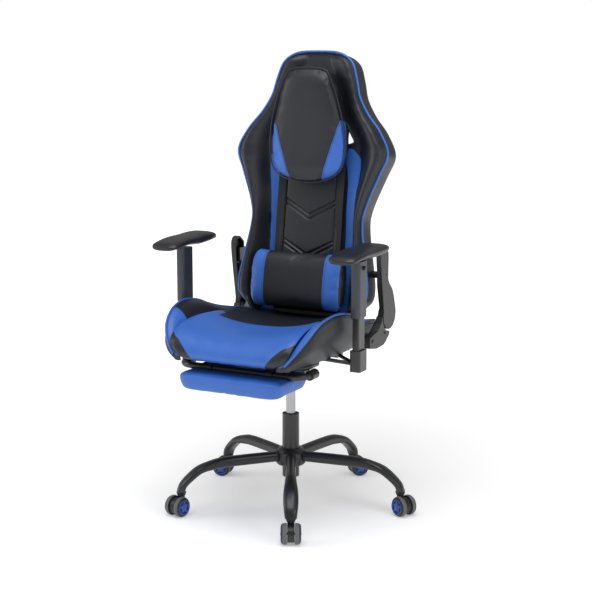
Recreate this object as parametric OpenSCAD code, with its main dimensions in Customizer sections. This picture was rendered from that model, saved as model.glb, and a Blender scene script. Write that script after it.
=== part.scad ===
// Racing-style gaming chair: five-leg caster base, gas column, tilting seat with a slide-out
// footrest, reclining back with two pillows, and height-adjustable arms.
// Millimetres. The origin is on the column axis at floor level, the chair faces -Y, +Z is up.

/* [Base] */
// Distance from the column axis to each caster stem
base_r = 335; // [290:5:380]
// Turn of the first leg from straight ahead
base_turn = 28; // [0:1:72]
// Hub outside diameter
hub_d = 88; // [80:1:96]
// Height of the hub's lower face above the floor
hub_z = 122; // [118:1:128]
// Hub height
hub_h = 50; // [46:1:56]
// Leg tube width beside the hub
leg_w = 28; // [26:1:32]
// Leg tube height beside the hub
leg_t = 31; // [29:1:34]
// Leg tube width where it is pressed wide at the bend
leg_flare_w = 43; // [38:1:46]
// Height of the leg end above the floor
leg_end_z = 68; // [67:1:72]

/* [Casters] */
// Wheel diameter
wheel_d = 58; // [54:1:60]
// Width of one of the two wheels
wheel_w = 17; // [15:0.5:19]
// Gap between the two wheels
wheel_gap = 21; // [20:0.5:23]
// Distance from the stem axis to the wheel axle
trail = 18; // [16:1:20]
// Stem diameter
stem_d = 11; // [10:0.5:11]
// Axle diameter
axle_d = 6; // [5:0.5:8]

/* [Column] */
// Outside diameter of the fixed tube
tube_d = 50; // [48:1:52]
// Height of the fixed tube's upper end
tube_top = 276; // [270:1:290]
// Gas cylinder diameter
cylinder_d = 28; // [26:0.5:30]
// Travel of the gas lift
lift_travel = 80; // [60:5:80]
// Piston rod diameter
rod_d = 10; // [8:0.5:11]

/* [Seat] */
// Half width of the seat's centre cushion
seat_half_w = 168; // [165:1:170]
// Half width over the bolster crests
bolster_half_w = 243; // [235:1:250]
// Height of the bolster crests
bolster_top = 626; // [600:1:640]
// Height of the centre cushion's top
seat_top = 566; // [560:1:572]
// Height of the wooden seat board's lower face
board_z = 503; // [502:1:506]
// Thickness of the seat board
board_t = 12; // [9:1:14]

/* [Back] */
// Lean of the back from upright, in degrees
back_lean = 9; // [5:1:12]
// Half width of the back at the wings
wing_half_w = 245; // [236:1:252]
// Height of the back along its slope
back_len = 752; // [740:1:770]
// Thickness of the back
back_t = 80; // [76:1:90]
// Half width of the raised centre panel
panel_half_w = 108; // [104:1:112]
// Diameter of the steel frame tube inside the back
frame_tube_d = 22; // [18:1:24]

/* [Recline] */
// Pivot distance behind the column axis
pivot_y = 150; // [148:1:152]
// Pivot height
pivot_z = 570; // [568:1:572]
// Pivot pin diameter
pivot_d = 12; // [10:1:14]
// Inner face of the seat-side hinge plate, from the centre plane
plate_x = 222; // [220:1:224]
// Thickness of the hinge plates
plate_t = 5; // [4:0.5:5]
// Depth of the hinge covers
cover_t = 15; // [12:1:16]

/* [Arms] */
// Distance of the arm posts from the centre plane
arm_x = 280; // [278:1:300]
// Place of the arm posts along the chair
arm_y = -130; // [-140:1:-120]
// Travel of the arm height
arm_travel = 80; // [50:5:80]
// Post width across the chair
post_w = 20; // [18:1:22]
// Post depth along the chair
post_d = 40; // [36:1:42]
// Arm pad length
pad_len = 260; // [220:5:280]
// Arm pad width
pad_w = 90; // [70:1:100]
// Height of the arm pad's top
pad_top = 806; // [796:1:815]

/* [Footrest] */
// Diameter of the footrest tubes
loop_d = 19; // [16:1:20]
// Height of the sliding loop's axis
loop_z = 466; // [464:1:468]
// Half width of the sliding loop
loop_half_w = 196; // [186:1:200]
// Front of the sliding loop's axis
loop_y = -299; // [-305:1:-290]
// Half width of the foot pad
foot_half_w = 152; // [130:1:160]
// Length of the foot pad
foot_len = 180; // [160:5:190]
// Thickness of the foot pad's cushion
foot_t = 34; // [28:1:36]

/* [Hidden] */
$fn = 48;
fit = 0.05;       // radial clearance of pins and shafts that turn or slide
seat_fit = 0.02;  // radial clearance of parts pressed or welded together
gap = 0.4;        // clearance between faces of pieces that move past each other
rest_gap = 0.2;   // clearance between soft pieces and what they lie against

BLUE = [0.17, 0.33, 0.76];
BLACK = [0.07, 0.07, 0.08];
SATIN = [0.12, 0.12, 0.13];
PLASTIC = [0.16, 0.18, 0.21];
CHROME = [0.75, 0.76, 0.78];

// ---- shape helpers ----

// Point between p1 and p2 of a smooth curve through four points, at t from 0 to 1
function spline_point(p0, p1, p2, p3, t) =
  0.5 * (2 * p1 + (p2 - p0) * t + (2 * p0 - 5 * p1 + 4 * p2 - p3) * t * t
  + (3 * p1 - p0 - 3 * p2 + p3) * t * t * t);

// Smooth open curve through a list of points
function spline(p, steps) =
  let(last = len(p) - 1)
  concat(
    [for (i = [0:last - 1]) for (s = [0:steps - 1])
      spline_point(p[max(i - 1, 0)], p[i], p[i + 1], p[min(i + 2, last)], s / steps)],
    [p[last]]
  );

// A list of 2D points mirrored left to right, in reverse order
function mirrored(p) = [for (i = [len(p) - 1:-1:0]) [-p[i][0], p[i][1]]];

// Solid skin over rings of points, each ring turning the same way
module loft(rings) {
  n = len(rings[0]);
  last = len(rings) - 1;
  points = [for (ring = rings) each ring];
  sides = [for (i = [0:last - 1]) for (j = [0:n - 1])
    let(k = (j + 1) % n)
    each [[i * n + j, (i + 1) * n + j, (i + 1) * n + k], [i * n + j, (i + 1) * n + k, i * n + k]]];
  first_cap = [for (j = [1:n - 2]) [0, j, j + 1]];
  last_cap = [for (j = [1:n - 2]) [last * n, last * n + j + 1, last * n + j]];
  polyhedron(points, concat(sides, first_cap, last_cap));
}

// Upright rounded bar, w across and d along, with round corners of radius r
module rounded_bar(w, d, h, r) {
  linear_extrude(h) rounded_rect(w, d, r);
}

module rounded_rect(w, d, r) {
  square([w - 2 * r, d], center = true);
  square([w, d - 2 * r], center = true);
  for (sx = [-1, 1]) for (sy = [-1, 1])
    translate([sx * (w / 2 - r), sy * (d / 2 - r)]) circle(r);
}

// Straight round bar between two points
module bar(a, b, d) {
  v = b - a;
  len_v = norm(v);
  translate(a)
    rotate([0, acos(v[2] / len_v), atan2(v[1], v[0])])
      cylinder(d = d, h = len_v);
}

// Solid made by extruding a profile in the Y-Z plane from x0 to x1
module side_extrude(x0, x1) {
  translate([x0, 0, 0]) rotate([90, 0, 90]) linear_extrude(x1 - x0) children();
}

// Draws its children on one side of the chair: +1 is the sitter's left, -1 the right
module on_side(side) {
  if (side > 0) children();
  else mirror([1, 0, 0]) children();
}

// ---- base ----

leg_turns = [for (k = [0:4]) -90 + base_turn + 72 * k];
hub_mid_z = hub_z + hub_h / 2;
leg_reach = base_r + 3;
socket_r = stem_d / 2 + 4;
socket_top = leg_end_z + 20;
stem_top = socket_top - 1;

module base_hub() {
  color(SATIN) difference() {
    rotate_extrude() polygon([
      [tube_d / 2 + seat_fit, hub_z],
      [hub_d / 2 - 4, hub_z],
      [hub_d / 2, hub_z + 4],
      [hub_d / 2, hub_z + hub_h - 12],
      [hub_d / 2 - 8, hub_z + hub_h - 3],
      [tube_d / 2 + 5, hub_z + hub_h],
      [tube_d / 2 + seat_fit, hub_z + hub_h]
    ]);
    base_legs_solid(0.1);
  }
}

// Leg centreline in its own radial plane: distance out, height, tube width, tube height, slope
leg_stations = [
  [hub_d / 2 - 9, hub_mid_z, leg_w, leg_t, 0],
  [base_r * 0.4, hub_mid_z - 1, leg_w, leg_t + 1, -2],
  [base_r * 0.62, hub_mid_z - 3, leg_w + 3, leg_t, -8],
  [leg_reach - 92, hub_mid_z - 9, leg_w + 7, leg_t - 3, -22],
  [leg_reach - 58, leg_end_z + 60, leg_flare_w - 2, leg_t - 7, -40],
  [leg_reach - 30, leg_end_z + 40, leg_flare_w, leg_t - 9, -56],
  [leg_reach - 9, leg_end_z + 19, leg_flare_w - 4, leg_t - 9, -72],
  [leg_reach - 1, leg_end_z, leg_w + 6, leg_t - 8, -84]
];
leg_sides = 16;

// Flat oval ring of the leg tube, grown by extra
function leg_ring(s, extra) =
  [for (i = [0:leg_sides - 1])
    let(
      a = 360 * i / leg_sides,
      side = (s[2] / 2 + extra) * cos(a),
      up = (s[3] / 2 + extra) * sin(a)
    )
    [s[0] - up * sin(s[4]), side, s[1] + up * cos(s[4])]];

module leg_solid(extra) {
  curve = spline(leg_stations, 3);
  loft([for (s = curve) leg_ring(s, extra)]);
}

module base_legs_solid(extra) {
  for (a = leg_turns) rotate([0, 0, a]) leg_solid(extra);
}

module base_legs() {
  color(SATIN) for (a = leg_turns) rotate([0, 0, a]) difference() {
    union() {
      leg_solid(0);
      translate([base_r, 0, leg_end_z - 1]) cylinder(r = socket_r, h = socket_top - leg_end_z);
    }
    translate([base_r, 0, leg_end_z - 10]) cylinder(d = stem_d + 2 * seat_fit, h = stem_top - leg_end_z + 10.5);
    cylinder(r = tube_d / 2 + 3, h = 2 * hub_z);
    translate([0, 0, -1]) cylinder(r = 2 * base_r, h = leg_end_z);
  }
}

// ---- column ----

tube_wall = 1.5;
tube_foot = hub_z - 37;
floor_t = 3;
bearing_z = tube_foot + floor_t + 0.1;
bearing_h = 9;
cylinder_foot = bearing_z + bearing_h + lift_travel + 12;
cylinder_top = 468;
gland_h = 14;
piston_h = 12;
piston_z = cylinder_foot + gland_h + 3;

module column_tube() {
  color(SATIN) difference() {
    translate([0, 0, tube_foot]) cylinder(d = tube_d, h = tube_top - tube_foot);
    translate([0, 0, tube_foot + floor_t]) cylinder(d = tube_d - 2 * tube_wall, h = tube_top);
    translate([0, 0, tube_foot - 1]) cylinder(d = rod_d + 2 * fit, h = floor_t + 2);
  }
}

module column_bush() {
  bush_foot = hub_z + hub_h;
  color(PLASTIC) translate([0, 0, bush_foot]) difference() {
    cylinder(d = tube_d - 2 * tube_wall - 2 * seat_fit, h = tube_top - bush_foot - 2);
    translate([0, 0, -1]) cylinder(d = cylinder_d + 2 * fit, h = tube_top);
  }
}

module lift_rod() {
  clip_z = tube_foot - 3.5;
  color(CHROME) {
    translate([0, 0, clip_z]) cylinder(d = rod_d, h = piston_z - clip_z);
    translate([0, 0, clip_z]) cylinder(d = rod_d + 8, h = 3);
    translate([0, 0, piston_z]) cylinder(d = cylinder_d - 4 - 2 * fit, h = piston_h);
  }
}

module thrust_bearing() {
  color(CHROME) translate([0, 0, bearing_z]) difference() {
    cylinder(d = cylinder_d - 2, h = bearing_h);
    translate([0, 0, -1]) cylinder(d = rod_d + 2 * seat_fit, h = bearing_h + 2);
  }
}

button_d = 8;
button_z = 440;
button_top = 474;

module gas_cylinder() {
  color(CHROME) difference() {
    union() {
      translate([0, 0, cylinder_foot]) cylinder(d = cylinder_d, h = taper_z - cylinder_foot);
      translate([0, 0, taper_z]) cylinder(d = cylinder_d - 2, h = cylinder_top - taper_z);
    }
    translate([0, 0, cylinder_foot - 1]) cylinder(d = rod_d + 2 * fit, h = gland_h + 2);
    translate([0, 0, cylinder_foot + gland_h])
      cylinder(d = cylinder_d - 4, h = piston_h + lift_travel + 10);
    translate([0, 0, button_z - 8]) cylinder(d = button_d + 2 * fit, h = 100);
  }
}

module valve_button() {
  color(SATIN) translate([0, 0, button_z]) cylinder(d = button_d, h = button_top - button_z);
}

// ---- casters ----

caster_turn = [-62, -28, 45, 190, 260]; // direction in which each caster trails at rest
wheel_r = wheel_d / 2;
hood_w = wheel_gap - 2 * gap;
collar_z = wheel_d + 1;
hood_top = leg_end_z - 2;
hub_cap_r = wheel_r - 7;
cap_sink = 3.5;

// Places its children at caster k with the stem on Z and the trail along +X
module at_caster(k) {
  rotate([0, 0, leg_turns[k - 1]]) translate([base_r, 0, 0])
    rotate([0, 0, caster_turn[k - 1] - leg_turns[k - 1]]) children();
}

// Places its children on the axle line, with the axle along Z
module on_axle() {
  translate([trail, 0, wheel_r]) rotate([90, 0, 0]) children();
}

module caster_stems() {
  stem_foot = wheel_r - 2;
  color(CHROME) for (k = [1:5]) at_caster(k)
    translate([0, 0, stem_foot]) cylinder(d = stem_d, h = stem_top - stem_foot);
}

module caster_hood(k) {
  color(BLACK) at_caster(k) difference() {
    union() {
      on_axle() translate([0, 0, -hood_w / 2]) cylinder(r = wheel_r - 5, h = hood_w);
      translate([0, 0, wheel_r - 8]) cylinder(d = hood_w, h = hood_top - wheel_r + 8);
      translate([0, 0, collar_z]) cylinder(d = hood_w + 5, h = hood_top - collar_z);
      translate([-2, -hood_w / 2, wheel_r - 8]) cube([trail, hood_w, wheel_r - 1]);
      on_axle() cylinder(d = axle_d, h = wheel_gap + 2 * wheel_w - 8, center = true);
    }
    translate([0, 0, wheel_r - 4]) cylinder(d = stem_d + 2 * fit, h = leg_end_z);
  }
}

module caster_wheels(k) {
  at_caster(k) on_axle() for (side = [-1, 1]) scale_side(side) {
    color(BLACK) difference() {
      rotate_extrude($fn = 64) polygon([
        [axle_d / 2 + fit, wheel_gap / 2],
        [wheel_r - 1.5, wheel_gap / 2],
        [wheel_r, wheel_gap / 2 + 1.5],
        [wheel_r, wheel_gap / 2 + wheel_w - 5],
        [wheel_r - 3, wheel_gap / 2 + wheel_w - 1],
        [hub_cap_r + 1, wheel_gap / 2 + wheel_w],
        [hub_cap_r + seat_fit, wheel_gap / 2 + wheel_w - 0.5],
        [hub_cap_r + seat_fit, wheel_gap / 2 + wheel_w - cap_sink],
        [axle_d / 2 + fit, wheel_gap / 2 + wheel_w - cap_sink]
      ]);
    }
    color(BLUE) translate([0, 0, wheel_gap / 2 + wheel_w - cap_sink]) star_cap();
  }
}

// Mirrors a wheel to the other end of the axle
module scale_side(side) {
  if (side > 0) children();
  else mirror([0, 0, 1]) children();
}

// Five-spoke hub cap with recessed windows
module star_cap() {
  cap_t = 3;
  window_r = hub_cap_r * 0.64;
  difference() {
    cylinder(r = hub_cap_r, h = cap_t);
    for (i = [0:4]) rotate([0, 0, 72 * i]) translate([window_r, 0, 1])
      cylinder(r = hub_cap_r * 0.21, h = cap_t);
  }
}

// ---- tilt mechanism ----

taper_z = 432;         // where the gas cylinder steps down into its socket
housing_z = taper_z;   // lower face of the mechanism housing
housing_front = -92;
housing_rear = 78;
housing_half_w = 62;
wall = 3;
tilt_y = -76;
tilt_z = 482;
tilt_pin_d = 10;
plate_z = board_z - 4.5; // lower face of the tilting seat plate
knob_y = -50;
knob_r = 22;

module housing_profile() {
  polygon([
    [housing_front, housing_z], [housing_rear, housing_z], [housing_rear, 462],
    [0, 482], [tilt_y + 12, 492], [housing_front, 492]
  ]);
}

module mechanism_housing() {
  color(SATIN) difference() {
    union() {
      difference() {
        side_extrude(-housing_half_w, housing_half_w) housing_profile();
        translate([-housing_half_w + wall, housing_front + wall, housing_z + wall])
          cube([2 * (housing_half_w - wall), housing_rear - housing_front - 2 * wall, 100]);
      }
      translate([0, 0, housing_z]) cylinder(d = cylinder_d + 8, h = cylinder_top - housing_z - 2);
    }
    translate([0, 0, housing_z - 1]) cylinder(d = cylinder_d - 2 + 2 * seat_fit, h = 60);
    translate([0, knob_y, housing_z - 1]) cylinder(d = 8 + 2 * fit, h = wall + 2);
    translate([-housing_half_w - 1, tilt_y, tilt_z]) rotate([0, 90, 0])
      cylinder(d = tilt_pin_d + 2 * seat_fit, h = 2 * housing_half_w + 2);
    translate([-housing_half_w - 1, -13, lever_z - 9]) cube([wall + 2, 26, 40]);
  }
}

module tilt_pin() {
  color(CHROME) translate([-housing_half_w - 6, tilt_y, tilt_z]) rotate([0, 90, 0])
    cylinder(d = tilt_pin_d, h = 2 * housing_half_w + 12);
}

// Tension spring block: compressed coil between the housing floor and the seat plate
module tilt_spring() {
  color(CHROME) translate([0, knob_y, housing_z + wall + 0.5]) difference() {
    cylinder(d = 32, h = plate_z - housing_z - wall - 7);
    translate([0, 0, -1]) cylinder(d = 22, h = 100);
  }
}

module tension_knob() {
  color(BLACK) translate([0, knob_y, 0]) {
    difference() {
      translate([0, 0, housing_z - 32]) cylinder(r = knob_r, h = 31);
      for (i = [0:7]) rotate([0, 0, 45 * i]) translate([knob_r + 2, 0, 0])
        cylinder(r = 4, h = 500);
    }
    translate([0, 0, housing_z - 2]) cylinder(d = 8, h = 34);
  }
}

lever_z = 480.5;      // axis of the lever bar where it leaves the housing
lever_d = 8;
lever_end = [-208, 0, 462];
grip_len = 56;
slider_half_w = 12;

// Plate inside the housing that the lever pulls out to free the tilt
module lock_slider() {
  slider_z = housing_z + wall + gap;
  color(SATIN) difference() {
    translate([-housing_half_w + wall + 15, -slider_half_w, slider_z])
      cube([14, 2 * slider_half_w, lever_z + 1 - slider_z]);
    translate([-housing_half_w, -6, lever_z - 10]) cube([60, 12, 50]);
  }
}

// Flat tongue over the valve button, then a bar that passes out over the footrest rail
module lever_rod() {
  knee = [-134, 0, lever_z];
  drop = [lever_end[0] + grip_len + 4, 0, lever_end[2]];
  color(SATIN) {
    translate([-30, -5, button_top + 1.2]) cube([38, 10, 5]);
    bar(knee, [-24, 0, lever_z], lever_d);
    translate(knee) sphere(d = lever_d + 1);
    bar(knee, drop, lever_d);
    translate(drop) sphere(d = lever_d + 1);
    bar(lever_end, drop, lever_d);
  }
}

module lever_grip() {
  color(BLACK) translate(lever_end) rotate([0, 90, 0]) difference() {
    union() {
      cylinder(d = 17, h = grip_len);
      sphere(d = 17);
    }
    translate([0, 0, -0.5]) cylinder(d = lever_d + 2 * seat_fit, h = grip_len + 1);
  }
}

module seat_plate() {
  ear_x = housing_half_w + 0.5;
  color(SATIN) difference() {
    union() {
      translate([-88, housing_front, plate_z]) cube([176, 190, 4]);
      for (side = [-1, 1]) on_side(side) {
        translate([ear_x, tilt_y - 14, tilt_z - 12]) cube([4, 28, plate_z - tilt_z + 13]);
      }
    }
    translate([-100, tilt_y, tilt_z]) rotate([0, 90, 0])
      cylinder(d = tilt_pin_d + 2 * fit, h = 200);
  }
}

// ---- seat ----

seat_front = -362;
seat_rear = 145;
cushion_z = board_z + board_t + rest_gap;
board_half_w = 200;

module seat_board() {
  board_len = 370;
  color([0.55, 0.42, 0.28]) translate([0, 122 - board_len / 2, board_z])
    rounded_bar(2 * board_half_w, board_len, board_t, 30);
}

taper_y = -240; // the centre cushion narrows in front of this line

// Half width of the centre cushion at place y
function cushion_half_w(y) = seat_half_w - max(0, taper_y - y) * 0.167;

module seat_cushion() {
  front_y = seat_front - 10;
  profile = spline([
    [seat_rear, cushion_z], [seat_rear + 8, seat_top - 40], [seat_rear - 12, seat_top - 16],
    [40, seat_top - 3], [-120, seat_top + 1], [-230, seat_top], [-310, seat_top - 18],
    [-352, seat_top - 40], [seat_front, seat_top - 58], [seat_front + 16, board_z - 4]
  ], 4);
  color(BLUE) intersection() {
    side_extrude(-seat_half_w, seat_half_w)
      polygon(concat(profile, [[-275, board_z - 4], [-275, cushion_z]]));
    linear_extrude(1000) polygon([
      [-seat_half_w, 400], [-seat_half_w, taper_y], [-cushion_half_w(front_y), front_y],
      [cushion_half_w(front_y), front_y], [seat_half_w, taper_y], [seat_half_w, 400]
    ]);
  }
}

// Stations along a seat bolster: place, foot half width, crest half width, crest height
bolster_stations = [
  [seat_front + 2, 160, 174, board_z + 8],
  [-350, 166, 194, 534],
  [-333, 172, bolster_half_w - 28, 566],
  [-290, 180, bolster_half_w - 12, 604],
  [-250, 188, bolster_half_w - 6, bolster_top - 6],
  [-195, 200, bolster_half_w, bolster_top],
  [-123, 206, bolster_half_w + 1, bolster_top - 10],
  [-63, 208, bolster_half_w - 1, bolster_top - 31],
  [-12, 208, bolster_half_w - 13, bolster_top - 47],
  [50, 204, 215, bolster_top - 60],
  [seat_rear - 5, 200, 206, bolster_top - 70]
];

// Ring of a bolster: up its inner side, over the crest and down the outer side
function bolster_ring(s) =
  let(
    inner = cushion_half_w(s[0]) + 3,
    floor_z = s[0] < -278 ? board_z - 4 : cushion_z,
    top = s[3]
  )
  [
    [inner, s[0], floor_z],
    [inner, s[0], floor_z + (top - floor_z) * 0.62],
    [inner + (s[2] - inner) * 0.45, s[0], top - 6],
    [s[2] - 5, s[0], top],
    [s[2], s[0], top - 5],
    [s[2] + 3, s[0], floor_z + (top - floor_z) * 0.6],
    [s[1] + 12, s[0], floor_z + 8],
    [s[1], s[0], floor_z]
  ];

module seat_bolster(side) {
  color(BLACK) on_side(side)
    loft([for (s = bolster_stations) reversed(bolster_ring(s))]);
}

function reversed(p) = [for (i = [len(p) - 1:-1:0]) p[i]];

// ---- arms ----

foot_z = 462;
foot_top = 521;
sleeve_w = 28;
sleeve_d = 58;
sleeve_z = 613;
sleeve_top = pad_top - 38;
post_top = sleeve_top - arm_travel - 8;

module arm_bracket(side) {
  outer = [arm_x - 12, arm_y, foot_z + 18];
  color(SATIN) on_side(side) {
    difference() {
      translate([arm_x, arm_y, foot_z]) rounded_bar(post_w + 12, post_d + 8, foot_top - foot_z, 5);
      translate([arm_x, arm_y + post_d / 2 - 6, foot_z + 37]) rotate([-90, 0, 0])
        cylinder(d = 6 + 2 * seat_fit, h = 20);
    }
    translate([arm_x, arm_y, foot_top - 1])
      rounded_bar(post_w, post_d, post_top - foot_top + 1, 4);
    for (inner = [[150, -52], [182, -168]]) {
      bar([inner[0], inner[1], board_z - 9], outer, 11);
      translate([inner[0], inner[1], board_z - 15]) cylinder(d = 20, h = 14.8);
    }
  }
}

// Domed bolts that clamp the arm posts in their foot blocks
module arm_bolts() {
  color(SATIN) for (side = [-1, 1]) on_side(side)
    translate([arm_x, arm_y + post_d / 2 - 5, foot_z + 37]) rotate([-90, 0, 0]) {
      cylinder(d = 6, h = 10);
      translate([0, 0, 9.2]) cylinder(d = 15, h = 8);
    }
}

module arm_sleeve(side) {
  color(PLASTIC) on_side(side) translate([arm_x, arm_y, 0]) difference() {
    translate([0, 0, sleeve_z]) rounded_bar(sleeve_w, sleeve_d, sleeve_top - sleeve_z, 11);
    translate([0, 0, sleeve_z - 1])
      rounded_bar(post_w + 2 * gap, post_d + 2 * gap, sleeve_top - sleeve_z - 5, 4);
    translate([sleeve_w / 2 - 6, 0, button_row]) rotate([0, 90, 0]) cylinder(d = 12 + 2 * fit, h = 20);
  }
}

button_row = sleeve_top - 18;

module arm_button(side) {
  color(BLACK) on_side(side) translate([arm_x, arm_y, button_row])
    translate([sleeve_w / 2 - 0.8, 0, 0]) rotate([0, 90, 0]) {
      cylinder(d = 12, h = 5.8);
      translate([0, 0, 4.8]) cylinder(d1 = 12, d2 = 9, h = 2.5);
    }
}

module arm_pad(side) {
  pad_y = arm_y + 4;
  front = pad_y - pad_len / 2;
  rear = pad_y + pad_len / 2;
  under = sleeve_top + 0.2;
  profile = spline([
    [front, pad_top - 16], [front + 20, pad_top - 9], [pad_y - 30, pad_top - 6],
    [pad_y + 50, pad_top], [rear - 25, pad_top - 1], [rear, pad_top - 14]
  ], 5);
  color(BLACK) on_side(side) intersection() {
    side_extrude(arm_x - pad_w / 2, arm_x + pad_w / 2) polygon(concat(profile, [
      [rear - 2, pad_top - 26], [rear - 30, pad_top - 33], [arm_y + sleeve_d / 2 + 14, under],
      [arm_y - sleeve_d / 2 - 10, under], [front + 60, pad_top - 26], [front + 8, pad_top - 26]
    ]));
    translate([arm_x, pad_y, 0]) rounded_bar(pad_w, pad_len, 1000, 36);
  }
}

// ---- footrest ----

corner_r = 40;
rail_x = 120;
rail_rear = 150;
frame_loop_z = loop_z + loop_d + 2;
travel_z = loop_z + loop_d / 2;
foot_front = loop_y - 70;
pad_board_t = 10;

// Half of a U-shaped tube in a level plane: a straight front, one bend and one leg going back
module u_tube(half_w, y_front, y_rear, z, d) {
  for (side = [-1, 1]) on_side(side) {
    translate([0, y_front, z]) rotate([0, 90, 0]) cylinder(d = d, h = half_w - corner_r);
    translate([half_w - corner_r, y_front + corner_r, z]) rotate([0, 0, -90])
      rotate_extrude(angle = 90) translate([corner_r, 0]) circle(d = d, $fn = 32);
    translate([half_w, y_front + corner_r, z]) rotate([-90, 0, 0])
      cylinder(d = d, h = y_rear - y_front - corner_r);
  }
}

// Fixed loop under the seat with guide blocks for the sliding rails
module footrest_frame() {
  post_h = board_z - 0.2 - frame_loop_z;
  color(SATIN) difference() {
    union() {
      u_tube(loop_half_w - 12, loop_y + 14, -196, frame_loop_z, loop_d);
      for (y = [-184, 30]) for (side = [-1, 1]) on_side(side)
        translate([rail_x - 19, y, loop_z - 15]) cube([38, 34, board_z - 0.2 - loop_z + 15]);
      translate([-loop_half_w + 12, -206, frame_loop_z - 3]) cube([2 * loop_half_w - 24, 24, 6]);
      for (side = [-1, 1]) on_side(side)
        translate([loop_half_w - 12, -200, frame_loop_z]) cylinder(d = 16, h = post_h);
    }
    for (side = [-1, 1]) on_side(side)
      translate([rail_x, -300, loop_z]) rotate([-90, 0, 0])
        cylinder(d = loop_d + 2 * fit, h = 500);
  }
}

module footrest_slider() {
  color(SATIN) {
    u_tube(loop_half_w, loop_y, -232, loop_z, loop_d);
    for (side = [-1, 1]) on_side(side) {
      translate([rail_x, loop_y, loop_z]) rotate([-90, 0, 0])
        cylinder(d = loop_d, h = rail_rear - loop_y);
      translate([loop_half_w, -262, loop_z]) rotate([-90, 0, 0]) cylinder(d = 28, h = 34);
    }
  }
}

// Board that carries the foot pad, with two clamps that swing on the loop's front bar
module footrest_board() {
  board_top = travel_z - loop_d - 0.3;
  color(BLACK) difference() {
    union() {
      translate([0, foot_front + foot_len / 2, board_top - pad_board_t])
        rounded_bar(2 * foot_half_w - 6, foot_len - 6, pad_board_t, 16);
      for (side = [-1, 1]) on_side(side)
        translate([84, loop_y, loop_z]) rotate([0, 90, 0]) cylinder(d = loop_d + 8, h = 22);
    }
    translate([-200, loop_y, loop_z]) rotate([0, 90, 0])
      cylinder(d = loop_d + 2 * fit, h = 400);
  }
}

module footrest_pad() {
  pad_z = travel_z - loop_d - 0.3 - pad_board_t - rest_gap;
  color(BLUE) translate([0, foot_front + foot_len / 2, pad_z - foot_t])
    rounded_bar(2 * foot_half_w, foot_len, foot_t, 18);
}

// ---- recline hinge ----

arm_plate_x = plate_x + plate_t + 1;
cover_x = arm_plate_x + plate_t + 1;
swing_r = 46;

module recline_bracket(side) {
  color(SATIN) on_side(side) difference() {
    union() {
      side_extrude(plate_x, plate_x + plate_t) {
        polygon([[12, 488], [120, 500], [pivot_y + 24, pivot_z], [pivot_y - 24, pivot_z], [70, 530], [12, 508]]);
        translate([pivot_y, pivot_z]) circle(24);
      }
      translate([plate_x - 52, 12, board_z - 5.2]) cube([52.5, 120, 5]);
      translate([plate_x, pivot_y, pivot_z]) rotate([0, 90, 0])
        cylinder(d = pivot_d, h = cover_x + cover_t - 4 - plate_x);
    }
  }
}

module upper_cover_profile() {
  arc = [for (a = [160:20:360]) [pivot_y + (swing_r - 2) * cos(a), pivot_z + (swing_r - 2) * sin(a)]];
  spine = spline([
    [pivot_y + swing_r - 2, pivot_z + 6], [pivot_y + 22, 636], [141, 670], [138, 700],
    [138, 750], [128, 764], [108, 776], [88, 768], [84, 740], [96, 660]
  ], 4);
  polygon(concat(arc, spine));
}

module upper_cover(side) {
  color(BLACK) on_side(side) difference() {
    side_extrude(cover_x, cover_x + cover_t) upper_cover_profile();
    side_extrude(cover_x - 1, cover_x + cover_t - 3) intersection() {
      translate([5, 0]) upper_cover_profile();
      translate([-5, 6]) upper_cover_profile();
      translate([0, -6]) upper_cover_profile();
    }
    translate([cover_x, 122, 692]) rotate([0, 90, 0]) cylinder(d = 6, h = 50);
  }
}

module lower_cover_profile() {
  difference() {
    polygon([
      [14, 492], [60, 484], [108, 486], [124, 493], [150, 512], [150, 520], [112, 566],
      [100, 570], [92, 552], [70, 534], [14, 522]
    ]);
    translate([pivot_y, pivot_z]) circle(swing_r + 3);
  }
}

module lower_cover(side) {
  color(BLACK) on_side(side) difference() {
    side_extrude(cover_x - plate_t, cover_x + cover_t) lower_cover_profile();
    side_extrude(cover_x - plate_t - 1, cover_x + cover_t - 3) intersection() {
      translate([4, 3]) lower_cover_profile();
      translate([-4, -3]) lower_cover_profile();
      translate([3, -4]) lower_cover_profile();
    }
    translate([cover_x, 33, 507]) rotate([0, 90, 0]) cylinder(d = 6, h = 50);
    if (side < 0) translate([plate_x, recline_lever_y, recline_lever_z]) rotate([0, 90, 0])
      cylinder(d = lever_pin_d + 2 * fit, h = 50);
  }
}

lever_pin_d = 12;
lever_plate_x = cover_x + cover_t + 2;
recline_lever_y = 60;
recline_lever_z = 512;

// Lever on the sitter's right that frees the recline lock
module recline_lever() {
  color(BLACK) on_side(-1) {
    translate([arm_plate_x, recline_lever_y, recline_lever_z]) rotate([0, 90, 0])
      cylinder(d = lever_pin_d, h = lever_plate_x + 1 - arm_plate_x);
    side_extrude(lever_plate_x, lever_plate_x + 6) {
      translate([recline_lever_y, recline_lever_z]) circle(12);
      polygon([
        [recline_lever_y, recline_lever_z + 12], [recline_lever_y, recline_lever_z - 12],
        [-40, recline_lever_z - 2], [-46, recline_lever_z + 14]
      ]);
    }
    translate([lever_plate_x + 5, -40, recline_lever_z + 6]) rotate([90, 0, 0])
      cylinder(d = 14, h = 46);
  }
}

// ---- back ----

back_y = 55;
back_z = 586;
front_t = 46;    // thickness of the front foam
shell_wall = 8;
frame_v = 60;    // depth of the frame tubes behind the front face
frame_half_w = 92;
frame_top = back_len - 70;
split_u = back_len - 206;
wing_inner_x = panel_half_w + 36;
strip_v = 34;    // depth of the strip between the centre panel and a wing
panel_v = 18;    // depth of the centre panel's face

// Places its children in the back's own frame: Z up its slope, Y to the rear
module on_back() {
  translate([0, back_y, back_z]) rotate([-back_lean, 0, 0]) children();
}

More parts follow.
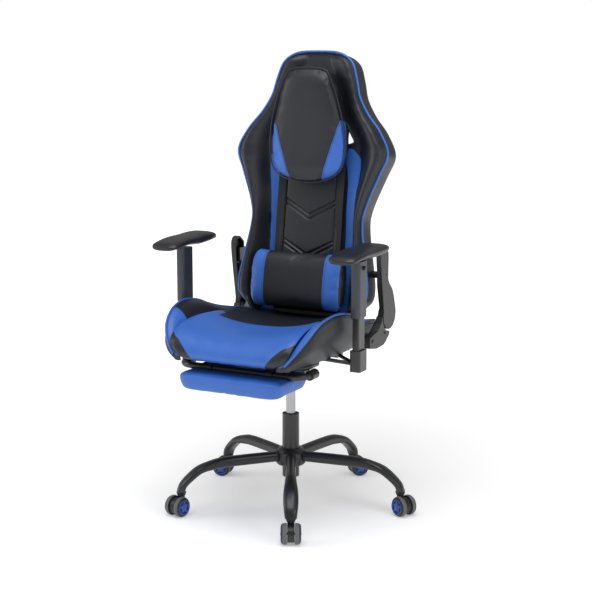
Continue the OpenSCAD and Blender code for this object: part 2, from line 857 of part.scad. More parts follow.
// Extrudes a front view outline from depth v0 to v1
module slab(v0, v1) {
  translate([0, v1, 0]) rotate([90, 0, 0]) linear_extrude(v1 - v0) children();
}

back_edge = spline([
  [174, 0], [206, 30], [212, 68], [204, 120], [182, 240], [187, 300], [wing_half_w - 23, 393],
  [wing_half_w, 458], [216, back_len - 232], [174, back_len - 181], [144, back_len - 131],
  [130, back_len - 80], [110, back_len - 30], [66, back_len - 4], [0, back_len]
], 4);

module back_outline() {
  polygon(concat(back_edge, mirrored(back_edge)));
}

// Open slot beside the head cushion
module slot_outline(side, grow) {
  on_side(side) polygon([
    [82 - grow, split_u - 60 - grow], [126 + grow, split_u - 56 - grow],
    [114 + grow, split_u - 28], [95 + grow, split_u + grow], [82 - grow, split_u + grow]
  ]);
}

module slots(grow) {
  slot_outline(1, grow);
  slot_outline(-1, grow);
}

module back_cushion() {
  neck_half_w = 78;
  color(BLACK) on_back() slab(panel_v, front_t) {
    translate([-panel_half_w, 14]) square([2 * panel_half_w, split_u - 80]);
    translate([-neck_half_w, 14]) square([2 * neck_half_w, split_u - 16]);
  }
}

module head_cushion() {
  color(BLACK) on_back() slab(0, front_t) difference() {
    intersection() {
      back_outline();
      translate([-300, split_u]) square([600, 400]);
    }
    slots(2);
  }
}

// Side bolster: a thin strip beside the centre panel and a deep wing outside it
module back_bolster(side) {
  color(BLACK) on_back() {
    slab(0, front_t) bolster_outline(side, wing_inner_x);
    slab(strip_v, front_t) bolster_outline(side, panel_half_w + 2);
  }
}

module bolster_outline(side, inner_x) {
  difference() {
    intersection() {
      back_outline();
      on_side(side) translate([inner_x, 0]) square([300, split_u - 1]);
    }
    slots(2);
  }
}

module back_cover() {
  inner_x = frame_half_w + 30;
  color(BLACK) on_back() difference() {
    slab(front_t + rest_gap, back_t) difference() {
      back_outline();
      slots(2);
    }
    slab(front_t - 1, back_t - 6)
      translate([-inner_x, shell_wall]) square([2 * inner_x, split_u - 78 - shell_wall]);
    slab(front_t - 1, back_t - 6)
      translate([-74, split_u - 110]) square([148, frame_top - split_u + 132]);
    for (side = [-1, 1]) on_side(side) translate([0, frame_v, hinge_u]) rotate([0, 90, 0])
      cylinder(d = frame_tube_d + 2, h = 300);
  }
}

hinge_u = 112;   // height of the cross tube that carries the hinge plates

// Bar across the whole back at height u, with half length half_l
module cross_bar(u, half_l, d) {
  translate([-half_l, frame_v, u]) rotate([0, 90, 0]) cylinder(d = d, h = 2 * half_l);
}

// Welded frame: two uprights that narrow into a head loop, cross bars and hinge plates
module back_frame() {
  upright_d = frame_tube_d - 4;
  head_half_w = 54;
  bend_u = split_u - 130;
  color(SATIN) {
    on_back() {
      for (side = [-1, 1]) on_side(side) {
        bar([frame_half_w, frame_v, 26], [frame_half_w, frame_v, bend_u], upright_d);
        translate([frame_half_w, frame_v, bend_u]) sphere(d = upright_d + 1);
        bar([frame_half_w, frame_v, bend_u], [head_half_w, frame_v, bend_u + 46], upright_d);
        translate([head_half_w, frame_v, bend_u + 46]) sphere(d = upright_d + 1);
        bar([head_half_w, frame_v, bend_u + 46], [head_half_w, frame_v, frame_top], upright_d);
      }
      for (u = [40, hinge_u + 150, bend_u - 12]) cross_bar(u, frame_half_w, upright_d - 4);
      cross_bar(frame_top - upright_d, head_half_w, upright_d - 4);
      cross_bar(hinge_u, arm_plate_x + 1, frame_tube_d - 2);
    }
    for (side = [-1, 1]) on_side(side) difference() {
      side_extrude(arm_plate_x, arm_plate_x + plate_t) {
        translate([pivot_y, pivot_z]) circle(24);
        polygon([
          [pivot_y - 24, pivot_z], [pivot_y + 24, pivot_z], [pivot_y - 2, 660],
          [pivot_y - 10, 740], [100, 740], [104, 660]
        ]);
      }
      translate([arm_plate_x - 1, pivot_y, pivot_z]) rotate([0, 90, 0])
        cylinder(d = pivot_d + 2 * fit, h = plate_t + 2);
    }
  }
}

// ---- pillows ----

head_pillow_t = 52;

module head_pillow() {
  edge = [
    [47, 384], [110, 424], [123, 470], [114, 548], [92, 620], [64, 682], [48, 694]
  ];
  color(BLACK) on_back() slab(-4 - head_pillow_t, -4)
    polygon(concat(edge, mirrored(edge)));
}

lumbar_half_w = wing_inner_x - 2;
lumbar_r = 23;
lumbar_low_u = 38;
lumbar_high_u = 146;

module lumbar_pillow() {
  lumbar_v = panel_v - 1 - lumbar_r;
  color(BLUE) on_back() side_extrude(-lumbar_half_w, lumbar_half_w) {
    translate([lumbar_v, lumbar_low_u]) circle(lumbar_r);
    translate([lumbar_v, lumbar_high_u]) circle(lumbar_r);
    translate([lumbar_v - lumbar_r, lumbar_low_u])
      square([2 * lumbar_r, lumbar_high_u - lumbar_low_u]);
  }
}

base_hub();
base_legs();
column_tube();
column_bush();
caster_stems();
caster_hood(1);  // caster_hood_1
caster_hood(2);  // caster_hood_2
caster_hood(3);  // caster_hood_3
caster_hood(4);  // caster_hood_4
caster_hood(5);  // caster_hood_5
caster_wheels(1);  // caster_wheels_1
caster_wheels(2);  // caster_wheels_2
caster_wheels(3);  // caster_wheels_3
caster_wheels(4);  // caster_wheels_4
caster_wheels(5);  // caster_wheels_5
lift_rod();
thrust_bearing();
gas_cylinder();
valve_button();
mechanism_housing();
tilt_pin();
tilt_spring();
tension_knob();
lock_slider();
lever_rod();
lever_grip();
seat_plate();
seat_board();
seat_cushion();
seat_bolster(1);  // seat_bolster_left
seat_bolster(-1);  // seat_bolster_right
arm_bracket(1);  // arm_bracket_left
arm_bracket(-1);  // arm_bracket_right
arm_bolts();
recline_bracket(1);  // recline_bracket_left
recline_bracket(-1);  // recline_bracket_right
lower_cover(1);  // lower_cover_left
lower_cover(-1);  // lower_cover_right
recline_lever();
footrest_frame();
footrest_slider();
footrest_board();
footrest_pad();
back_frame();
back_cushion();
head_cushion();
back_bolster(1);  // back_bolster_left
back_bolster(-1);  // back_bolster_right
back_cover();
upper_cover(1);  // upper_cover_left
upper_cover(-1);  // upper_cover_right
head_pillow();
lumbar_pillow();
arm_sleeve(1);  // arm_sleeve_left
arm_sleeve(-1);  // arm_sleeve_right
arm_pad(1);  // arm_pad_left
arm_pad(-1);  // arm_pad_right
arm_button(1);  // arm_button_left
arm_button(-1);  // arm_button_right
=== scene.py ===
# %% [markdown]
# # A racing-style gaming chair
# The chair stands on a five-leg base with twin-wheel casters. A gas column carries a tilting bucket
# seat with a slide-out footrest, a reclining back with two pillows, and two height-adjustable arms.
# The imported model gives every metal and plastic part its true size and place. This script adds the
# looks: leather over foam, piping, stitches, straps, and a surface for every part.

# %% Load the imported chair
import math

import bpy
import bmesh
import numpy as np
from mathutils import Matrix, Vector
from mathutils.bvhtree import BVHTree


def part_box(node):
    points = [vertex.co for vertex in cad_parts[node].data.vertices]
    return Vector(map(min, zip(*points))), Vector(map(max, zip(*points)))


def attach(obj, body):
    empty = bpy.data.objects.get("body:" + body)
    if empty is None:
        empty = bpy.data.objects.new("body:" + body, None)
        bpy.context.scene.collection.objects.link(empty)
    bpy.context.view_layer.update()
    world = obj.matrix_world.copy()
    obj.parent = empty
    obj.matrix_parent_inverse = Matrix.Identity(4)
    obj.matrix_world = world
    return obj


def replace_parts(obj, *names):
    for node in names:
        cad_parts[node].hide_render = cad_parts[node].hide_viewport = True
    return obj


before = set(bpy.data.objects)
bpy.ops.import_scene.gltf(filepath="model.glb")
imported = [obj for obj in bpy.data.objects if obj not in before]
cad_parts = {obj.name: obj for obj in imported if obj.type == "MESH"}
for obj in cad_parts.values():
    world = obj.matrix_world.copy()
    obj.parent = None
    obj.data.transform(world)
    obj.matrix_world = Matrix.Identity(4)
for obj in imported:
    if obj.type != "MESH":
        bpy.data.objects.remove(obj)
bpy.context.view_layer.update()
scene = bpy.context.scene

# %% [markdown]
# ## Camera, light and floor
# The camera stands to the front left of the sitter, level with the armrests, with a long lens, so
# upright lines stay upright. The light is a wide soft box overhead with a weaker one on each side,
# as in a product studio: leather shows its shape by broad soft highlights, not by sharp spots.

# %% Camera
camera_data = bpy.data.cameras.new("camera")
camera_data.lens = 85
camera_data.sensor_width = 36
camera_data.clip_end = 50
camera = bpy.data.objects.new("camera", camera_data)
camera.location = (1.880, -3.537, 1.355)
camera.rotation_euler = (math.radians(79.70), 0, math.radians(27.77))
scene.collection.objects.link(camera)
scene.camera = camera

# %% Floor, world and soft boxes
scene.view_settings.view_transform = "Standard"
world = bpy.data.worlds.new("studio")
world.use_nodes = True
sky = world.node_tree.nodes["Background"]
sky.inputs["Color"].default_value = (1, 1, 1, 1)
seen = world.node_tree.nodes.new("ShaderNodeLightPath")
level = world.node_tree.nodes.new("ShaderNodeMapRange")
level.inputs["To Min"].default_value = 0.34
level.inputs["To Max"].default_value = 1.0
world.node_tree.links.new(seen.outputs["Is Camera Ray"], level.inputs["Value"])
world.node_tree.links.new(level.outputs[0], sky.inputs["Strength"])
scene.world = world


def soft_box(name, place, aim, size, power):
    """A square area light at place that shines towards aim."""
    data = bpy.data.lights.new(name, "AREA")
    data.size = size
    data.energy = power
    light = bpy.data.objects.new(name, data)
    light.location = place
    light.rotation_euler = (Vector(aim) - Vector(place)).to_track_quat("-Z", "Y").to_euler()
    scene.collection.objects.link(light)


soft_box("overhead", (0.3, -0.9, 3.4), (0, 0, 0.6), 2.2, 62)
soft_box("left_side", (-2.8, -1.6, 1.9), (0, 0, 0.7), 1.6, 26)
soft_box("right_side", (3.0, -1.0, 1.8), (0, 0, 0.7), 1.4, 16)

floor_mesh = bpy.data.meshes.new("floor")
floor_mesh.from_pydata([(-9, -9, 0), (9, -9, 0), (9, 9, 0), (-9, 9, 0)], [], [(0, 1, 2, 3)])
floor = bpy.data.objects.new("floor", floor_mesh)
scene.collection.objects.link(floor)
floor_paint = bpy.data.materials.new("pale floor")
floor_paint.use_nodes = True
floor_paint.node_tree.nodes["Principled BSDF"].inputs["Base Color"].default_value = (0.93, 0.93, 0.93, 1)
floor_paint.node_tree.nodes["Principled BSDF"].inputs["Roughness"].default_value = 0.9
floor_paint.node_tree.nodes["Principled BSDF"].inputs["Emission Color"].default_value = (1, 1, 1, 1)
floor_paint.node_tree.nodes["Principled BSDF"].inputs["Emission Strength"].default_value = 1.0
far_off = floor_paint.node_tree.nodes.new("ShaderNodeVectorMath")
far_off.operation = "LENGTH"
spread = floor_paint.node_tree.nodes.new("ShaderNodeMapRange")
spread.interpolation_type = "SMOOTHSTEP"
for label, value in (("From Min", 0.5), ("From Max", 3.2), ("To Min", 0.30), ("To Max", 0.95)):
    spread.inputs[label].default_value = value
floor_links = floor_paint.node_tree.links
floor_place = floor_paint.node_tree.nodes.new("ShaderNodeTexCoord")
floor_links.new(floor_place.outputs["Object"], far_off.inputs[0])
floor_links.new(far_off.outputs["Value"], spread.inputs["Value"])
floor_links.new(spread.outputs[0], floor_paint.node_tree.nodes["Principled BSDF"].inputs["Emission Color"])
floor_mesh.materials.append(floor_paint)

# %% [markdown]
# ## Shared shader groups
# Three effects come back in many finishes, so each is a node group that is built once. *Grain* is the
# fine pebbled skin of coated leather or moulded plastic, made of two Voronoi sizes over a soft noise.
# *Wear* marks worn edges and scuffs. *Panel* reads how far a point lies from a seam, which is stored
# on the mesh, and gives a clean border between two leathers and a painted shade line along the seam, in place of the
# groove's shade.


# %% Helpers that add and join nodes
class Net:
    """Adds nodes to one tree and joins them."""

    def __init__(self, tree):
        self.tree = tree

    def add(self, kind, inputs=None, **settings):
        node = self.tree.nodes.new(kind)
        for key, value in settings.items():
            setattr(node, key, value)
        for key, value in (inputs or {}).items():
            if isinstance(value, bpy.types.NodeSocket):
                self.tree.links.new(value, node.inputs[key])
            else:
                node.inputs[key].default_value = value
        return node

    def math(self, operation, a, b=0.0, clamp=False):
        return self.add("ShaderNodeMath", {0: a, 1: b}, operation=operation, use_clamp=clamp).outputs[0]

    def mix(self, factor, a, b):
        node = self.add("ShaderNodeMix", data_type="RGBA")
        for slot, value in ((0, factor), (6, a), (7, b)):
            if isinstance(value, bpy.types.NodeSocket):
                self.tree.links.new(value, node.inputs[slot])
            else:
                node.inputs[slot].default_value = value
        return node.outputs[2]


def new_group(name, inputs, outputs):
    """An empty shader group with named sockets; returns its net, input node and output node."""
    tree = bpy.data.node_groups.new(name, "ShaderNodeTree")
    for label, kind, value in inputs:
        socket = tree.interface.new_socket(label, in_out="INPUT", socket_type=kind)
        if value is not None:
            socket.default_value = value
    for label, kind in outputs:
        tree.interface.new_socket(label, in_out="OUTPUT", socket_type=kind)
    net = Net(tree)
    return net, net.add("NodeGroupInput"), net.add("NodeGroupOutput")


# %% The grain group
grain, g_in, g_out = new_group(
    "Grain",
    [("Vector", "NodeSocketVector", None), ("Cells per metre", "NodeSocketFloat", 900.0),
     ("Wrinkle", "NodeSocketFloat", 0.4)],
    [("Height", "NodeSocketFloat"), ("Tone", "NodeSocketFloat")],
)
cells = grain.add("ShaderNodeTexVoronoi", {"Vector": g_in.outputs[0], "Scale": g_in.outputs[1]},
                  feature="SMOOTH_F1")
cells.inputs["Smoothness"].default_value = 0.6
coarse = grain.add("ShaderNodeTexVoronoi",
                   {"Vector": g_in.outputs[0], "Scale": grain.math("MULTIPLY", g_in.outputs[1], 0.31)})
wrinkle = grain.add("ShaderNodeTexNoise", {"Vector": g_in.outputs[0], "Scale": 26.0, "Detail": 3.0,
                                           "Distortion": 0.6})
cloud = grain.add("ShaderNodeTexNoise", {"Vector": g_in.outputs[0], "Scale": 9.0, "Detail": 2.0})
pebbles = grain.math("ADD", cells.outputs["Distance"], grain.math("MULTIPLY", coarse.outputs["Distance"], 0.5))
height = grain.math("ADD", pebbles, grain.math("MULTIPLY", wrinkle.outputs[0], g_in.outputs[2]))
grain.tree.links.new(height, g_out.inputs["Height"])
grain.tree.links.new(cloud.outputs[0], g_out.inputs["Tone"])

# %% The wear group
wear, w_in, w_out = new_group(
    "Wear",
    [("Vector", "NodeSocketVector", None), ("Amount", "NodeSocketFloat", 0.3)],
    [("Edge", "NodeSocketFloat"), ("Scuff", "NodeSocketFloat")],
)
pointy = wear.add("ShaderNodeNewGeometry").outputs["Pointiness"]
ragged = wear.add("ShaderNodeTexNoise", {"Vector": w_in.outputs[0], "Scale": 85.0, "Detail": 4.0})
edge = wear.math("MULTIPLY", wear.math("SUBTRACT", pointy, 0.54), 9.0, clamp=True)
edge = wear.math("MULTIPLY", edge, wear.math("MULTIPLY", ragged.outputs[0], w_in.outputs[1]))
streaks = wear.add("ShaderNodeTexNoise", {"Vector": w_in.outputs[0], "Scale": 14.0, "Detail": 6.0,
                                          "Roughness": 0.7})
scuff = wear.math("MULTIPLY", wear.math("SUBTRACT", streaks.outputs[0], 0.55), 4.0, clamp=True)
wear.tree.links.new(edge, w_out.inputs["Edge"])
wear.tree.links.new(wear.math("MULTIPLY", scuff, w_in.outputs[1]), w_out.inputs["Scuff"])

# %% The panel group
panel, p_in, p_out = new_group(
    "Panel",
    [("Distance", "NodeSocketFloat", 1.0)],
    [("Side", "NodeSocketFloat"), ("Seam", "NodeSocketFloat")],
)
side = panel.math("ADD", panel.math("MULTIPLY", p_in.outputs[0], 2500.0), 0.5, clamp=True)
# Seam: painted shade, a band along the seam that is darkened where the groove's shade would fall.
seam_shade = panel.math("SUBTRACT", 1.0, panel.math("MULTIPLY", panel.math("ABSOLUTE", p_in.outputs[0]), 520.0), clamp=True)
panel.tree.links.new(side, p_out.inputs["Side"])
panel.tree.links.new(seam_shade, p_out.inputs["Seam"])
print("shader groups:", [g.name for g in bpy.data.node_groups])

# %% [markdown]
# ## Finishes
# Two leathers, satin powder coat on the steel, chrome, three plastics, the caster tread, raw plywood,
# woven strap and thread. Each one reads object coordinates, so the grain keeps its real size on every
# part, and each varies a little in tone and gloss, because nothing made of leather or paint is even.

# %% Leather, plain or in two colours
BLACK = (0.0080, 0.0098, 0.0140, 1)
BLUE = (0.030, 0.130, 0.500, 1)


def start_material(name):
    """A new material with its net, its shader and the object coordinates."""
    material = bpy.data.materials.new(name)
    material.use_nodes = True
    net = Net(material.node_tree)
    shader = material.node_tree.nodes["Principled BSDF"]
    place = net.add("ShaderNodeTexCoord").outputs["Object"]
    return material, net, shader, place


def place_group(net, group, inputs):
    node = net.add("ShaderNodeGroup", node_tree=group.tree)
    for key, value in inputs.items():
        if isinstance(value, bpy.types.NodeSocket):
            net.tree.links.new(value, node.inputs[key])
        else:
            node.inputs[key].default_value = value
    return node


def shade(color, factor):
    return tuple(min(1.0, c * factor) for c in color[:3]) + (1,)


def leather(name, color, other=None, gloss=0.43, cells_per_metre=850.0):
    """Coated leather. With a second colour, the stored seam distance picks which one a point has."""
    material, net, shader, place = start_material(name)
    skin = place_group(net, grain, {"Vector": place, "Cells per metre": cells_per_metre, "Wrinkle": 0.9})
    base = net.mix(skin.outputs["Tone"], shade(color, 0.86), shade(color, 1.16))
    if other is not None:
        distance = net.add("ShaderNodeAttribute", attribute_name="panel").outputs["Fac"]
        border = place_group(net, panel, {"Distance": distance})
        second = net.mix(skin.outputs["Tone"], shade(other, 0.86), shade(other, 1.16))
        base = net.mix(border.outputs["Side"], base, second)
        # Painted shade: the seam band is darkened towards half of black, as the groove's shade would look.
        base = net.mix(border.outputs["Seam"], base, shade(BLACK, 0.5))
    rub = place_group(net, wear, {"Vector": place, "Amount": 0.25})
    net.tree.links.new(net.mix(rub.outputs["Edge"], base, shade(color, 1.6)), shader.inputs["Base Color"])
    rough = net.math("ADD", net.math("MULTIPLY", skin.outputs["Tone"], 0.14), gloss - 0.07)
    net.tree.links.new(rough, shader.inputs["Roughness"])
    bump = net.add("ShaderNodeBump", {"Height": skin.outputs["Height"], "Strength": 0.22, "Distance": 0.0006})
    net.tree.links.new(bump.outputs[0], shader.inputs["Normal"])
    shader.inputs["Specular IOR Level"].default_value = 0.5
    return material


black_leather = leather("black leather", BLACK)
blue_leather = leather("blue leather", BLUE, gloss=0.46)
two_leathers = leather("black and blue leather", BLACK, BLUE)


# %% Paint, plastic, rubber and wood
def hard(name, color, rough, metal=0.0, cells_per_metre=1500.0, bump_strength=0.1, worn=0.2, coat=0.0):
    """A hard finish: colour with cloudy tone, worn edges, scuffs in the gloss and a fine grain."""
    material, net, shader, place = start_material(name)
    skin = place_group(net, grain, {"Vector": place, "Cells per metre": cells_per_metre, "Wrinkle": 0.2})
    rub = place_group(net, wear, {"Vector": place, "Amount": worn})
    base = net.mix(skin.outputs["Tone"], shade(color, 0.9), shade(color, 1.1))
    net.tree.links.new(net.mix(rub.outputs["Edge"], base, shade(color, 3.0)), shader.inputs["Base Color"])
    level = net.math("ADD", net.math("MULTIPLY", rub.outputs["Scuff"], 0.2), rough)
    net.tree.links.new(level, shader.inputs["Roughness"])
    shader.inputs["Metallic"].default_value = metal
    shader.inputs["Coat Weight"].default_value = coat
    bump = net.add("ShaderNodeBump", {"Height": skin.outputs["Height"], "Strength": bump_strength,
                                      "Distance": 0.0003})
    net.tree.links.new(bump.outputs[0], shader.inputs["Normal"])
    return material


black_steel = hard("satin black powder coat", (0.012, 0.0125, 0.014, 1), 0.34, coat=0.15)
bare_steel = hard("zinc plated steel", (0.55, 0.55, 0.57, 1), 0.32, metal=1.0)
chrome = hard("ground chrome", (0.36, 0.365, 0.38, 1), 0.26, metal=1.0, bump_strength=0.03, worn=0.05)
black_plastic = hard("black moulded plastic", (0.011, 0.0115, 0.0125, 1), 0.42, bump_strength=0.16)
grey_plastic = hard("grey nylon", (0.030, 0.036, 0.046, 1), 0.40, bump_strength=0.12)
blue_plastic = hard("blue hub plastic", (0.022, 0.085, 0.42, 1), 0.36, bump_strength=0.05)
tread_grey = hard("grey caster tread", (0.135, 0.137, 0.145, 1), 0.62, bump_strength=0.2)
dark_rubber = hard("dark caster wall", (0.016, 0.017, 0.02, 1), 0.5, bump_strength=0.15)
soft_pad = hard("moulded foam skin", (0.013, 0.0135, 0.0155, 1), 0.36, cells_per_metre=1100.0, bump_strength=0.3)
thread_black = hard("black thread", (0.03, 0.031, 0.036, 1), 0.7)
thread_grey = hard("grey thread", (0.16, 0.165, 0.18, 1), 0.7)
thread_blue = hard("blue thread", (0.05, 0.16, 0.6, 1), 0.7)


# %% Plywood and woven strap
def plywood(name):
    """Raw birch plywood: long stretched noise for the figure."""
    material, net, shader, place = start_material(name)
    stretched = net.add("ShaderNodeMapping", {"Vector": place, "Scale": (3.0, 40.0, 60.0)}).outputs[0]
    figure = net.add("ShaderNodeTexNoise", {"Vector": stretched, "Scale": 4.0, "Detail": 6.0})
    base = net.mix(figure.outputs[0], (0.30, 0.20, 0.11, 1), (0.52, 0.38, 0.23, 1))
    net.tree.links.new(base, shader.inputs["Base Color"])
    shader.inputs["Roughness"].default_value = 0.7
    bump = net.add("ShaderNodeBump", {"Height": figure.outputs[0], "Strength": 0.2, "Distance": 0.0004})
    net.tree.links.new(bump.outputs[0], shader.inputs["Normal"])
    return material


def webbing(name, color):
    """Woven elastic: the strap's own UV map runs along it, so the ribs cross it squarely."""
    material, net, shader, place = start_material(name)
    along = net.add("ShaderNodeUVMap", uv_map="along").outputs[0]
    ribs = net.add("ShaderNodeTexWave", {"Vector": along, "Scale": 160.0}, bands_direction="Y")
    warp = net.add("ShaderNodeTexWave", {"Vector": along, "Scale": 110.0}, bands_direction="X")
    weave = net.math("MULTIPLY", ribs.outputs["Fac"], warp.outputs["Fac"])
    net.tree.links.new(net.mix(weave, shade(color, 0.6), shade(color, 1.5)), shader.inputs["Base Color"])
    shader.inputs["Roughness"].default_value = 0.8
    bump = net.add("ShaderNodeBump", {"Height": weave, "Strength": 0.5, "Distance": 0.0005})
    net.tree.links.new(bump.outputs[0], shader.inputs["Normal"])
    return material


birch = plywood("raw plywood")
strap_black = webbing("black elastic webbing", (0.014, 0.0145, 0.017, 1))
print("finishes:", len(bpy.data.materials))

# %% [markdown]
# ## Shape helpers
# Most soft parts are made the way an upholsterer thinks: a few measured points, a smooth curve through
# them, and a skin over a row of such curves. A finished piece's points are in the chair's own frame,
# so its object stays at the origin.


# %% Curves, skins and tubes
def smooth_curve(points, steps, closed=False):
    """Points on a smooth curve through the given ones, any number of coordinates."""
    p = np.array(points, float)
    n = len(p)
    rows = []
    for i in range(n if closed else n - 1):
        a, b, c, d = (p[(i + k) % n] if closed else p[min(max(i + k, 0), n - 1)] for k in (-1, 0, 1, 2))
        for s in range(steps):
            t = s / steps
            rows.append(0.5 * (2 * b + (c - a) * t + (2 * a - 5 * b + 4 * c - d) * t * t
                               + (3 * b - a - 3 * c + d) * t ** 3))
    if not closed:
        rows.append(p[-1])
    return np.array(rows)


def ease(x, low, high):
    """0 below low, 1 above high, smooth between."""
    t = np.clip((np.asarray(x, float) - low) / (high - low), 0, 1)
    return t * t * (3 - 2 * t)


def hump(x, centre, width):
    """A soft bump of height 1 at centre."""
    return np.exp(-((np.asarray(x, float) - centre) / width) ** 2)


def make_object(name, points, faces, *materials, smooth=True):
    """A mesh object at the origin with its materials and smooth faces that point outwards."""
    mesh = bpy.data.meshes.new(name)
    mesh.from_pydata([tuple(map(float, v)) for v in points], [], [tuple(map(int, f)) for f in faces])
    work = bmesh.new()
    work.from_mesh(mesh)
    bmesh.ops.remove_doubles(work, verts=work.verts, dist=1e-5)
    bmesh.ops.recalc_face_normals(work, faces=work.faces)
    work.to_mesh(mesh)
    work.free()
    mesh.polygons.foreach_set("use_smooth", [smooth] * len(mesh.polygons))
    for material in materials:
        mesh.materials.append(material)
    made = bpy.data.objects.new(name, mesh)
    scene.collection.objects.link(made)
    return made


def skin(rows, closed_ring=True, caps=True):
    """Faces over rows of points; each row has the same count. Returns (points, faces)."""
    rows = np.array(rows, float)
    r, n = rows.shape[:2]
    points = rows.reshape(-1, 3)
    faces = []
    for i in range(r - 1):
        for j in range(n if closed_ring else n - 1):
            k = (j + 1) % n
            faces.append((i * n + j, i * n + k, (i + 1) * n + k, (i + 1) * n + j))
    if caps and closed_ring:
        faces.append(tuple(range(n))[::-1])
        faces.append(tuple((r - 1) * n + j for j in range(n)))
    return points, faces


def tube(name, path, radius, material, sides=10, closed=False):
    """A round cord of constant radius along a path, with closed ends."""
    p = np.array(path, float)
    ahead = np.roll(p, -1, 0) - np.roll(p, 1, 0)
    if not closed:
        ahead[0], ahead[-1] = p[1] - p[0], p[-1] - p[-2]
    ahead /= np.linalg.norm(ahead, axis=1)[:, None]
    side_way = np.cross(ahead[0], (0.13, 0.2, 0.97))
    rows = []
    for place, way in zip(p, ahead):
        side_way = side_way - way * (side_way @ way)
        side_way /= np.linalg.norm(side_way)
        up = np.cross(way, side_way)
        turn = np.linspace(0, 2 * math.pi, sides, endpoint=False)
        rows.append(place + radius * (np.outer(np.cos(turn), side_way) + np.outer(np.sin(turn), up)))
    if closed:
        rows.append(rows[0])
    points, faces = skin(rows, caps=not closed)
    return make_object(name, points, faces, material)


def add_levels(piece, levels=1):
    """A live subdivision with the same level in the view and the render."""
    smoother = piece.modifiers.new("smoother", "SUBSURF")
    smoother.levels = levels
    smoother.render_levels = levels


def store(piece, label, values):
    """Keeps one number for each point of the mesh, for a material to read."""
    attribute = piece.data.attributes.new(label, "FLOAT", "POINT")
    attribute.data.foreach_set("value", np.asarray(values, np.float32))


def coords(piece):
    co = np.zeros(len(piece.data.vertices) * 3)
    piece.data.vertices.foreach_get("co", co)
    return co.reshape(-1, 3)


def move_points(piece, places):
    piece.data.vertices.foreach_set("co", np.asarray(places, float).ravel())
    piece.data.update()


LEAN = math.radians(9)


def on_back(x, v, u):
    """The back's own frame: v runs to the rear, u up the slope. Returns chair coordinates."""
    x, v, u = np.broadcast_arrays(np.asarray(x, float), v, u)
    return np.stack([x, 0.055 + v * math.cos(LEAN) + u * math.sin(LEAN),
                     0.586 - v * math.sin(LEAN) + u * math.cos(LEAN)], -1)


def off_back(points):
    """Chair coordinates to the back's own frame, as columns x, v, u."""
    p = np.asarray(points, float)
    y, z = p[:, 1] - 0.055, p[:, 2] - 0.586
    return np.stack([p[:, 0], y * math.cos(LEAN) - z * math.sin(LEAN),
                     y * math.sin(LEAN) + z * math.cos(LEAN)], -1)


# %% [markdown]
# ## Geometry Nodes for what repeats
# Three small trees do all the repeating. *Ring of copies* turns one part about the Z axis: the five
# legs, the ribs of a tread. *Row along a line* sets copies at an even
# spacing along a curve: stitches. *One at each point* sets a screw on every point given,
# turned to that point's normal. Each ends as a plain mesh.


# %% Build a geometry tree
def geometry_tree(name, inputs):
    """A tree with a geometry input and output and the named inputs; returns net, in and out nodes."""
    tree = bpy.data.node_groups.new(name, "GeometryNodeTree")
    tree.interface.new_socket("Geometry", in_out="INPUT", socket_type="NodeSocketGeometry")
    for label, kind in inputs:
        tree.interface.new_socket(label, in_out="INPUT", socket_type=kind)
    tree.interface.new_socket("Geometry", in_out="OUTPUT", socket_type="NodeSocketGeometry")
    net = Net(tree)
    return net, net.add("NodeGroupInput"), net.add("NodeGroupOutput")


def end_tree(net, instances, material_socket, out):
    """Makes the copies real, paints them and closes the tree."""
    real = net.add("GeometryNodeRealizeInstances", {"Geometry": instances})
    painted = net.add("GeometryNodeSetMaterial", {"Geometry": real.outputs[0], "Material": material_socket})
    net.tree.links.new(painted.outputs[0], out.inputs[0])


def run_tree(piece, net, values):
    """Runs a tree on a piece and keeps the result as its plain mesh."""
    modifier = piece.modifiers.new(net.tree.name, "NODES")
    modifier.node_group = net.tree
    for item in net.tree.interface.items_tree:
        if item.item_type == "SOCKET" and item.in_out == "INPUT" and item.name in values:
            modifier[item.identifier] = values[item.name]
    graph = bpy.context.evaluated_depsgraph_get()
    mesh = bpy.data.meshes.new_from_object(piece.evaluated_get(graph), depsgraph=graph)
    piece.modifiers.remove(modifier)
    piece.data = mesh
    mesh.polygons.foreach_set("use_smooth", [True] * len(mesh.polygons))
    return piece


# %% Ring of copies
ring, ring_in, ring_out = geometry_tree("Ring of copies", [
    ("Count", "NodeSocketInt"), ("First angle", "NodeSocketFloat"), ("Material", "NodeSocketMaterial")])
spots = ring.add("GeometryNodePoints", {"Count": ring_in.outputs["Count"]})
step = ring.math("DIVIDE", 2 * math.pi, ring_in.outputs["Count"])
turn = ring.math("ADD", ring.math("MULTIPLY", ring.add("GeometryNodeInputIndex").outputs[0], step),
                 ring_in.outputs["First angle"])
copies = ring.add("GeometryNodeInstanceOnPoints", {
    "Points": spots.outputs[0], "Instance": ring_in.outputs["Geometry"],
    "Rotation": ring.add("ShaderNodeCombineXYZ", {"Z": turn}).outputs[0]})
end_tree(ring, copies.outputs[0], ring_in.outputs["Material"], ring_out)

# %% Row along a line
row, row_in, row_out = geometry_tree("Row along a line", [
    ("Spacing", "NodeSocketFloat"), ("Length", "NodeSocketFloat"), ("Radius", "NodeSocketFloat"),
    ("Material", "NodeSocketMaterial")])
line = row.add("GeometryNodeMeshToCurve", {"Mesh": row_in.outputs["Geometry"]})
even = row.add("GeometryNodeResampleCurve", {"Curve": line.outputs[0], "Length": row_in.outputs["Spacing"]},
               mode="LENGTH")
stitch = row.add("GeometryNodeMeshCylinder", {"Vertices": 6, "Radius": row_in.outputs["Radius"],
                                              "Depth": row_in.outputs["Length"]})
aim = row.add("FunctionNodeAlignRotationToVector", axis="Z")
row.tree.links.new(row.add("GeometryNodeInputTangent").outputs[0], aim.inputs["Vector"])
laid = row.add("GeometryNodeInstanceOnPoints", {"Points": even.outputs[0], "Instance": stitch.outputs["Mesh"],
                                                "Rotation": aim.outputs[0]})
end_tree(row, laid.outputs[0], row_in.outputs["Material"], row_out)

